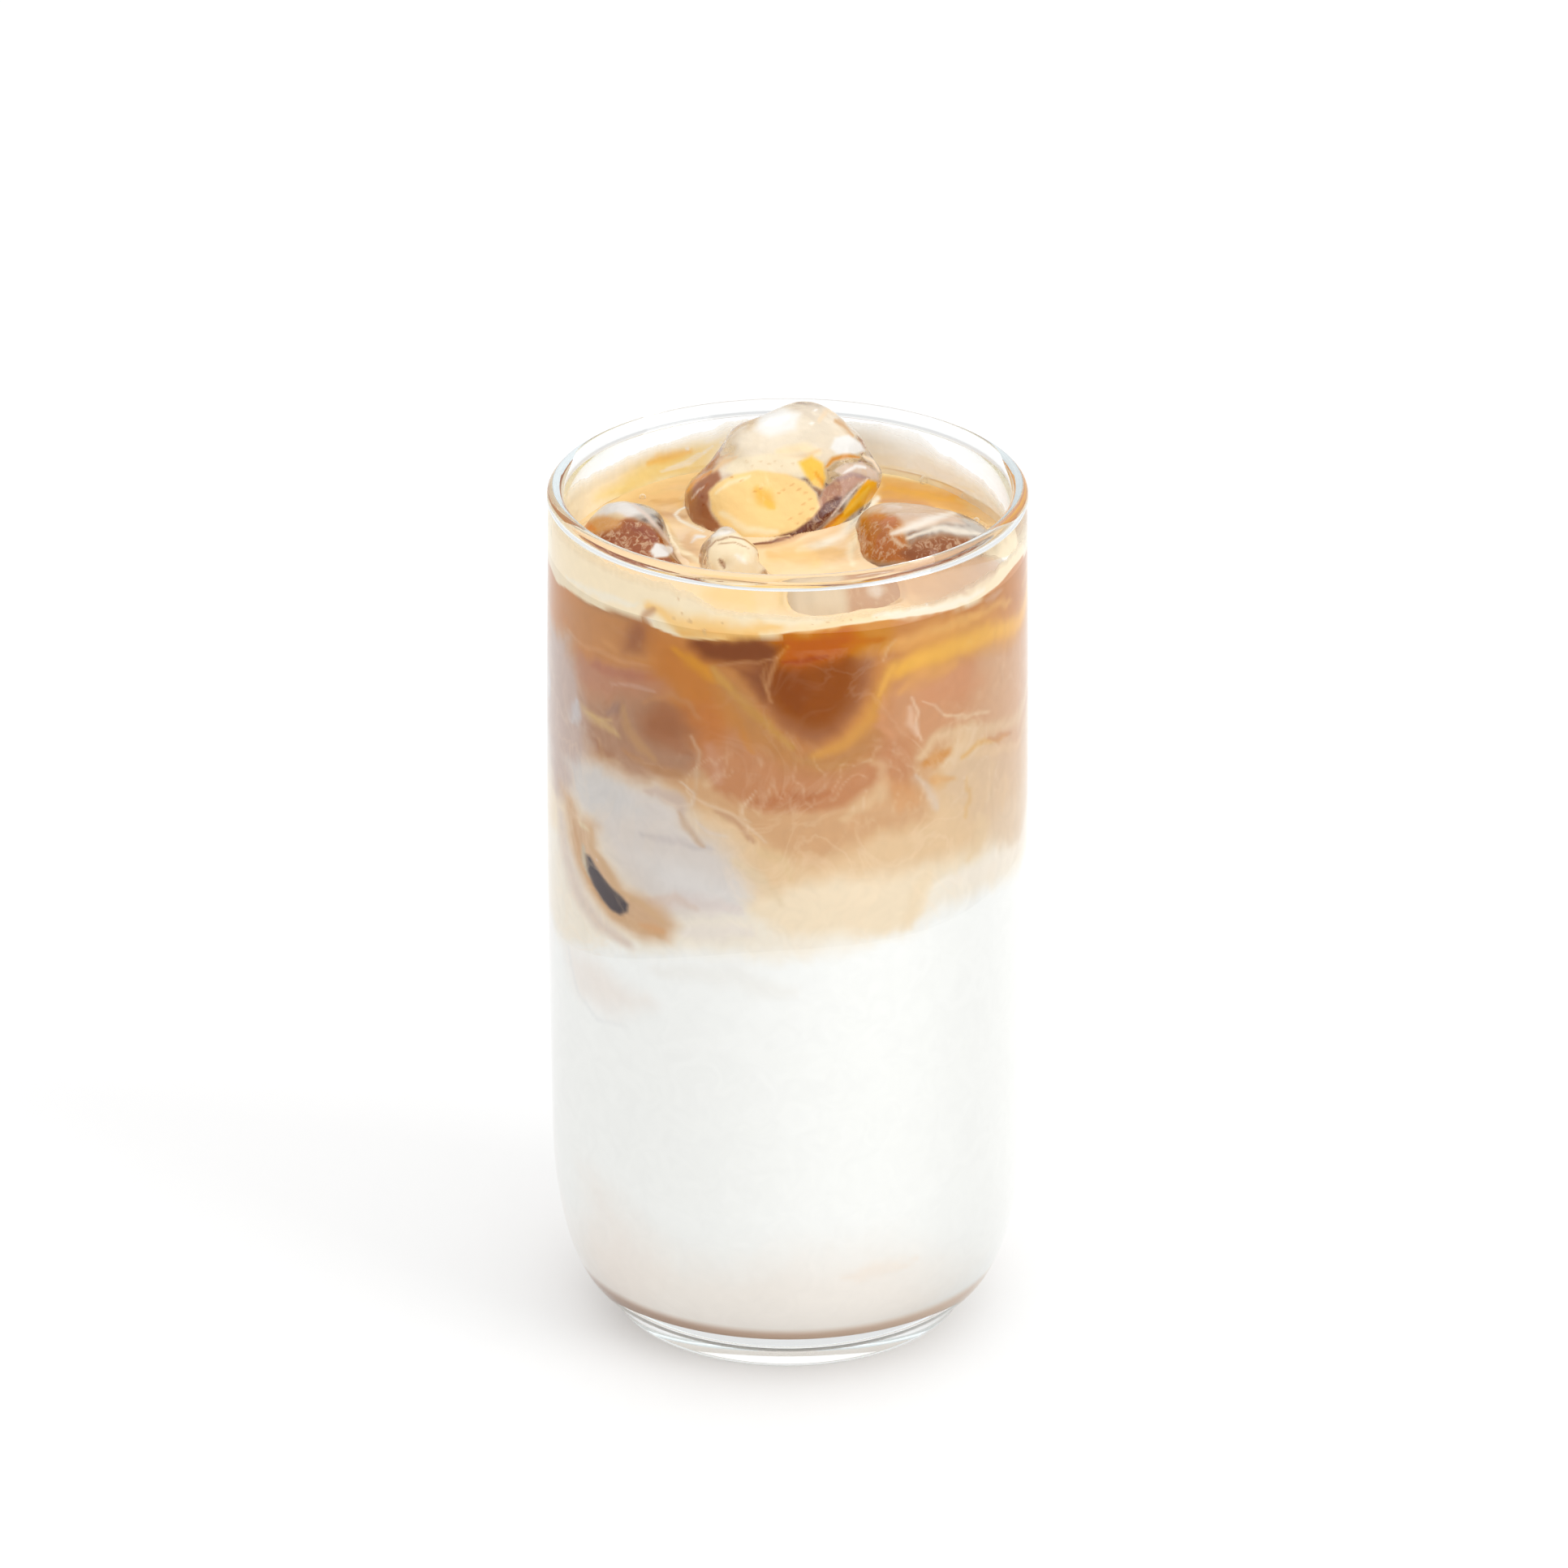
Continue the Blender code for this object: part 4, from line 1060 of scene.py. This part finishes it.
# Painted highlights: a white S along the meniscus by the left ice, and a small white glint below
# it.
skin.plume(tone(255, 246, 228), 0.45, 1.0, (852, 622), (838, 628), (832, 634), (838, 641),
           (852, 648), (867, 655), wisp=0.1)
skin.plume(tone(255, 252, 246), 0.7, 1.0, (852, 668), (858, 661), (868, 661), wisp=0.1)
skin.wash(tone(226, 162, 76), 1.2, 1.0, (1084, 590), (1120, 592), (1160, 600), (1200, 612),
          (1235, 635), (1240, 650), (1190, 640), (1150, 624), (1100, 620), (1080, 616))
skin.plume(tone(232, 166, 56), 1.2, 0.9, (1090, 602), (1130, 606), (1170, 616), (1205, 628))
skin.plume(tone(214, 152, 94), 1.2, 0.9, (1084, 616), (1120, 618), (1150, 624))
skin.wash(tone(224, 186, 136), 1.0, 0.8, (1180, 618), (1215, 622), (1242, 640), (1236, 655),
          (1205, 640))
skin.wash(tone(254, 238, 210), 0.8, 0.9, (1078, 562), (1130, 568), (1190, 588), (1150, 592),
          (1120, 586), (1084, 582), wisp=0.4)
skin.plume(tone(255, 232, 178), 0.9, 0.9, (1088, 584), (1120, 588), (1160, 598), wisp=0.3)
skin.plume(tone(178, 118, 60), 0.25, 0.7, (1092, 575), (1112, 578), (1150, 592), (1185, 603),
           (1204, 616), wisp=0.1)
skin.plume(tone(255, 244, 222), 1.7, 1.0, (1082, 614), (1066, 628), (1052, 644), (1036, 660),
           (1014, 671), (984, 678), wisp=0.3)
# A brown band in the crema along the tall ice's foot, with a thin dark line of painted shade where
# the crema meets the ice.
skin.plume(tone(216, 166, 116), 1.1, 0.7, (922, 674), (950, 671), (976, 664), (996, 654), wisp=0.1)
skin.plume(tone(112, 54, 30), 0.5, 0.95, (924, 671), (950, 668), (974, 661), (994, 651), wisp=0.1)
skin.wash(tone(186, 136, 98), 0.8, 0.8, (1108, 702), (1160, 690), (1216, 670), (1238, 676),
          (1204, 704), (1150, 716), (1112, 716))
skin.wash(tone(206, 152, 110), 1.0, 0.6, (1096, 716), (1240, 690), (1240, 726), (1160, 742),
          (1096, 746))
skin.wash(tone(222, 182, 140), 1.0, 0.6, (776, 664), (850, 656), (866, 684), (812, 690))
skin.plume(tone(178, 118, 76), 0.8, 0.6, (1130, 703), (1170, 697), (1205, 686))
skin.plume(tone(240, 194, 128), 2.6, 0.7, (1040, 676), (1000, 684), (950, 682))
skin.plume(tone(254, 236, 196), 1.4, 0.8, (860, 690), (840, 676), (820, 655), (800, 640))
skin.plume(tone(236, 198, 142), 0.9, 0.5, (700, 660), (740, 680), (800, 694))
skin.plume(tone(255, 238, 200), 1.6, 0.7, (1050, 690), (1052, 668), (1060, 650))
skin.plume(tone(255, 238, 196), 1.0, 0.9, (1188, 648), (1206, 646), wisp=0.3)
skin.plume(tone(190, 140, 96), 0.25, 0.7, (1130, 655), (1180, 651), (1230, 648), wisp=0.1)
skin.plume(tone(250, 212, 148), 2.0, 0.8, (850, 735), (920, 745), (990, 748))
skin.plume(tone(240, 190, 110), 0.8, 0.5, (860, 728), (930, 733), (980, 738))

places = vertex_places(crema)
reach = np.hypot(places[:, 0], places[:, 1])
drift, bent = drifts(places, 0.5, 0.3)
top_colours = skin.paint(photo_pixels(places), drift,
                         np.tile(np.append(SKIN, (1.0, 0.0)), (len(places), 1)))
wall_colours = paint_on_wall(places)
wall_colours[:, :3] *= 0.977
wall_colours[:, 4] = 1.0
at_wall = reach > liquid_radius(LEVEL) - 0.05 * MM
give_colours(crema, np.where(at_wall[:, None], wall_colours, top_colours))
crema_material, tree, shader = liquid_material("wet_crema", 0.16, 0.03, value=0.9)
backed_by_glass = add_node(tree, "Attribute", attribute_name="frost").outputs["Fac"]
for gloss, amount in (("Specular IOR Level", 0.5), ("Coat Weight", 0.2)):
    open_gloss = add_node(tree, "MapRange", {"Value": backed_by_glass, "To Min": amount,
                                             "To Max": 0.0})
    feed(tree, shader, {gloss: open_gloss.outputs[0]})
crema.data.materials.append(crema_material)
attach(crema, "root")
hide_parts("crema")

# The coffee and the latte open in pockets round the ice, dark and amber inside.
for piece in (coffee, latte):
    cut_by_ice(piece)
    places = vertex_places(piece)
    colours = paint_on_wall(places)
    drift, bent = drifts(places, 1.0, 0.6)
    depth = np.clip(0.5 + drift[:, 0] * 1.6 + drift[:, 1] * 0.5, 0.0, 1.0)[:, None]
    pocket = tone(120, 62, 30) * (1.0 - depth) + tone(222, 150, 74) * depth
    creamy = tone(226, 186, 132) * (1.0 - depth) + tone(252, 228, 178) * depth
    for node in ("ice_front", "ice_low"):
        low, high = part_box(node)
        middle = (low + high) / 2
        near = np.hypot(places[:, 0] - middle.x, places[:, 1] - middle.y) < (high.x - low.x) * 0.62
        pocket[near] = creamy[near]
    inner = np.hypot(places[:, 0], places[:, 1]) < liquid_radius(LEVEL) - 0.3 * MM
    colours[inner, :3] = pocket[inner]
    give_colours(piece, colours)
bpy.data.objects.remove(pocket_cutter)

# Foam on the wall: the skin that the crema leaves on the glass as it is poured, thick at its foot
# and thinning to a ragged edge, with small bubbles in it.
FILM_TOPS = ((-180, 122.6), (-165, 123.0), (-160, 121.9), (-150, 121.3), (-140, 121.1),
             (-128, 120.7), (-115, 121.0), (-102, 122.3), (-85, 122.6), (-60, 122.4),
             (-30, 122.2), (-24, 121.5), (-18, 119.9), (-8, 119.8), (5, 119.2), (22, 119.2),
             (36, 118.8), (44, 119.0), (60, 119.5), (75, 119.8), (95, 119.0), (104, 118.6),
             (117, 119.9), (130, 120.7), (137, 121.0), (143, 123.0), (155, 123.1),
             (165, 122.7), (180, 122.6))


def film_top(turn):
    turns = [math.radians(pair[0]) for pair in FILM_TOPS]
    return np.interp(turn, turns, [pair[1] * MM for pair in FILM_TOPS])


FILM_ROWS = 26
film_profile = [(30 * MM, z * MM) for z in np.linspace(0.0, 10.0, FILM_ROWS)]
film_profile += [(28 * MM, z * MM) for z in np.linspace(10.0, 0.0, FILM_ROWS)]
foam = spun_piece("wall_foam_film", film_profile + [film_profile[0]], 720)
places = vertex_places(foam)
turn = np.arctan2(places[:, 0], -places[:, 1])
outside = np.hypot(places[:, 0], places[:, 1]) > 29 * MM
rise = places[:, 2] / (10 * MM)
rag = np.array([noise.fractal(Vector((math.sin(t), math.cos(t), 0.0)) * 14.0, 0.7, 2.1, 4)
                for t in turn]) * 0.35 * MM
foot = LEVEL + 0.1 * MM
top = film_top(turn) + rag
level = foot + (top - foot) * rise
thick = (0.75 * (1.0 - rise) ** 2 + 0.16 * (1.0 - rise ** 8)) * MM
lumps = np.array([noise.fractal(Vector(p) * 700.0, 0.8, 2.1, 3) for p in
                  np.column_stack((np.sin(turn) * 0.03, np.cos(turn) * 0.03, level))])
thick += np.maximum(-0.05 * MM, lumps * 0.12 * MM) * (1.0 - rise)
bore = np.array([inner_radius(z) for z in level])
radius = np.where(outside, bore + INTO_WALL, bore - np.maximum(thick, 0.0))
places = np.column_stack((radius * np.sin(turn), -radius * np.cos(turn), level))
move_vertices(foam, places)

far = PaintSheet(same_pixels, PHOTO_PIXELS_PER_MM)
far.wash(tone(255, 228, 150), 1.4, 0.9, (735, 612), (770, 585), (815, 562), (860, 548), (885, 545),
         (870, 580), (820, 590), (770, 612))
far.plume(tone(255, 206, 108), 1.8, 0.85, (800, 572), (828, 560), (850, 556))
far.plume(tone(255, 242, 214), 1.4, 0.7, (705, 610), (740, 592), (770, 578))
far.plume(tone(252, 238, 208), 1.0, 0.8, (870, 545), (895, 530), (915, 520))
# Painted highlight: a bright S along the film's raised ridge on the far wall.
far.plume(tone(255, 244, 222), 0.55, 0.95, (814, 581), (832, 577), (850, 571), (868, 557),
          (878, 550), wisp=0.15)
far.plume(tone(255, 246, 228), 0.5, 0.9, (820, 578), (845, 569), (862, 558), wisp=0.15)
for px, py, size in ((847, 553, 0.8), (868, 558, 0.5), (905, 540, 1.0), (890, 553, 1.4),
                     (901, 524, 0.6), (888, 545, 0.5)):
    far.plume(tone(255, 250, 240), size, 1.0, (px - 1, py), (px + 1, py), wisp=0.1)
far.wash(tone(255, 248, 234), 1.2, 0.9, (1040, 515), (1100, 520), (1145, 535), (1150, 560),
         (1100, 570), (1050, 560))
far.wash(tone(255, 240, 208), 1.2, 0.9, (1140, 560), (1180, 570), (1215, 595), (1242, 632),
         (1230, 650), (1190, 610), (1150, 592))
far.plume(tone(236, 200, 150), 0.5, 0.7, (1150, 558), (1182, 572), (1215, 596), (1240, 632),
          wisp=0.3)
far.wash(tone(252, 238, 212), 0.5, 0.9, (1078, 560), (1130, 562), (1185, 584), (1160, 594),
         (1120, 584), (1084, 580), wisp=0.4)
far.plume(tone(255, 232, 176), 0.8, 0.8, (1085, 576), (1120, 578), (1160, 592), (1200, 608))

drift, bent = drifts(places, 0.5, 0.3)
film_ground = np.tile(np.append(tone(255, 240, 208), (1.0, 0.0)), (len(places), 1))
seen_at = photo_pixels(places)
thin = 0.45 * np.clip((seen_at[:, 0] - 1060) / 60, 0.0, 1.0)
thin += 0.3 * np.exp(-(((seen_at[:, 0] - 880) / 40) ** 2))
film_ground[:, 3] = np.clip(1.7 - 1.5 * rise, 0.2, 0.9) * (1.0 - thin)
far_colours = far.paint(seen_at, drift, film_ground)
far_colours[:, 3] = film_ground[:, 3]
near_colours = paint_on_wall(places)
near_colours[:, 3] = np.clip(3.0 - 2.6 * rise, 0.5, 1.0)
seen_behind = ((places[:, 1] > -5 * MM) | ~outside)[:, None]
give_colours(foam, np.where(seen_behind, far_colours, near_colours))
foam_material, tree, shader = liquid_material("wet_foam", 0.3, 0.02, value=0.98)
cover = tree.nodes["Color Attribute"].outputs["Alpha"]
show(tree, layered(tree, cover, add_node(tree, "BsdfTransparent"), shader))
foam.data.materials.append(foam_material)
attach(foam, "root")
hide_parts("wall_foam")

# Bubbles: clear domes of milk and coffee film that float on the crema by the wall and on the back
# of the foam, each half sunk, blown as the drink was poured.
bubbles = []
for x, y, size in ((19.5, 24.0, 0.75), (25.0, 18.5, 0.45), (26.0, 17.5, 0.55), (26.5, 16.5, 0.4),
                   (27.5, 15.0, 0.55), (27.0, 16.0, 0.35), (28.0, 14.0, 0.4), (-27.0, 6.5, 0.5),
                   (26.5, 9.0, 0.5), (-20.5, 19.0, 0.5), (-23.5, 15.0, 0.4), (12.0, 27.5, 0.45),
                   (-8.0, -27.0, 0.5), (4.0, -28.5, 0.4), (17.5, -24.0, 0.5)):
    bpy.ops.mesh.primitive_uv_sphere_add(segments=28, ring_count=16, radius=size * MM)
    bubble = bpy.context.object
    touch = Vector((x * MM, y * MM, LEVEL + 6 * MM))
    hit, spot, normal, face = crema.ray_cast(touch, Vector((0.0, 0.0, -1.0)))
    rest = spot.z if hit else LEVEL
    move_vertices(bubble, vertex_places(bubble) + np.array((x * MM, y * MM, rest + 0.1 * MM)))
    bpy.ops.object.shade_smooth()
    bubbles.append(bubble)
pick(*bubbles)
bpy.ops.object.join()
bubble_domes = bpy.context.object
bubble_domes.name = "surface_bubbles"
bubble_material, tree, shader = new_material("bubble_film", {
    "Base Color": (0.97, 0.88, 0.7, 1.0), "Roughness": 0.05, "Coat Weight": 0.5})
edge = add_node(tree, "LayerWeight", {"Blend": 0.55})
show(tree, layered(tree, edge.outputs["Facing"], add_node(tree, "BsdfTransparent"), shader))
bubble_domes.data.materials.append(bubble_material)
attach(bubble_domes, "root")

# The floor and the light: a white table, under a large soft lamp from the right and a bright even
# room.
bpy.ops.object.select_all(action="DESELECT")
bpy.ops.mesh.primitive_plane_add(size=6.0, location=(0.0, 0.0, -0.05 * MM))
table_top = bpy.context.object
table_top.name = "white_table"
table_material, tree, shader = new_material("white_table", {
    "Base Color": (0.87, 0.87, 0.87, 1.0), "Roughness": 0.6})
table_top.data.materials.append(table_material)

bpy.ops.object.light_add(type="AREA", location=(0.8, -0.45, 0.58))
lamp = bpy.context.object
lamp.name = "soft_lamp"
lamp.data.shape = "RECTANGLE"
lamp.data.size = 0.55
lamp.data.size_y = 0.55
lamp.data.energy = 3.1
lamp.rotation_euler = (Vector((0, 0, 0.06)) - lamp.location).to_track_quat("-Z", "Y").to_euler()

world = bpy.data.worlds.new("white_room")
bpy.context.scene.world = world
world.use_nodes = True
tree = world.node_tree
sky_way = add_node(tree, "TexCoord").outputs["Generated"]
sky_parts = add_node(tree, "SeparateXYZ", {"Vector": sky_way})
ceiling = add_node(tree, "MapRange", {"Value": sky_parts.outputs["Z"], "From Min": 0.2,
                                      "To Min": 0.8, "To Max": 1.42})
feed(tree, tree.nodes["Background"], {"Strength": ceiling.outputs[0], "Color": (1, 1, 1, 1)})
bpy.context.scene.view_settings.view_transform = "Standard"
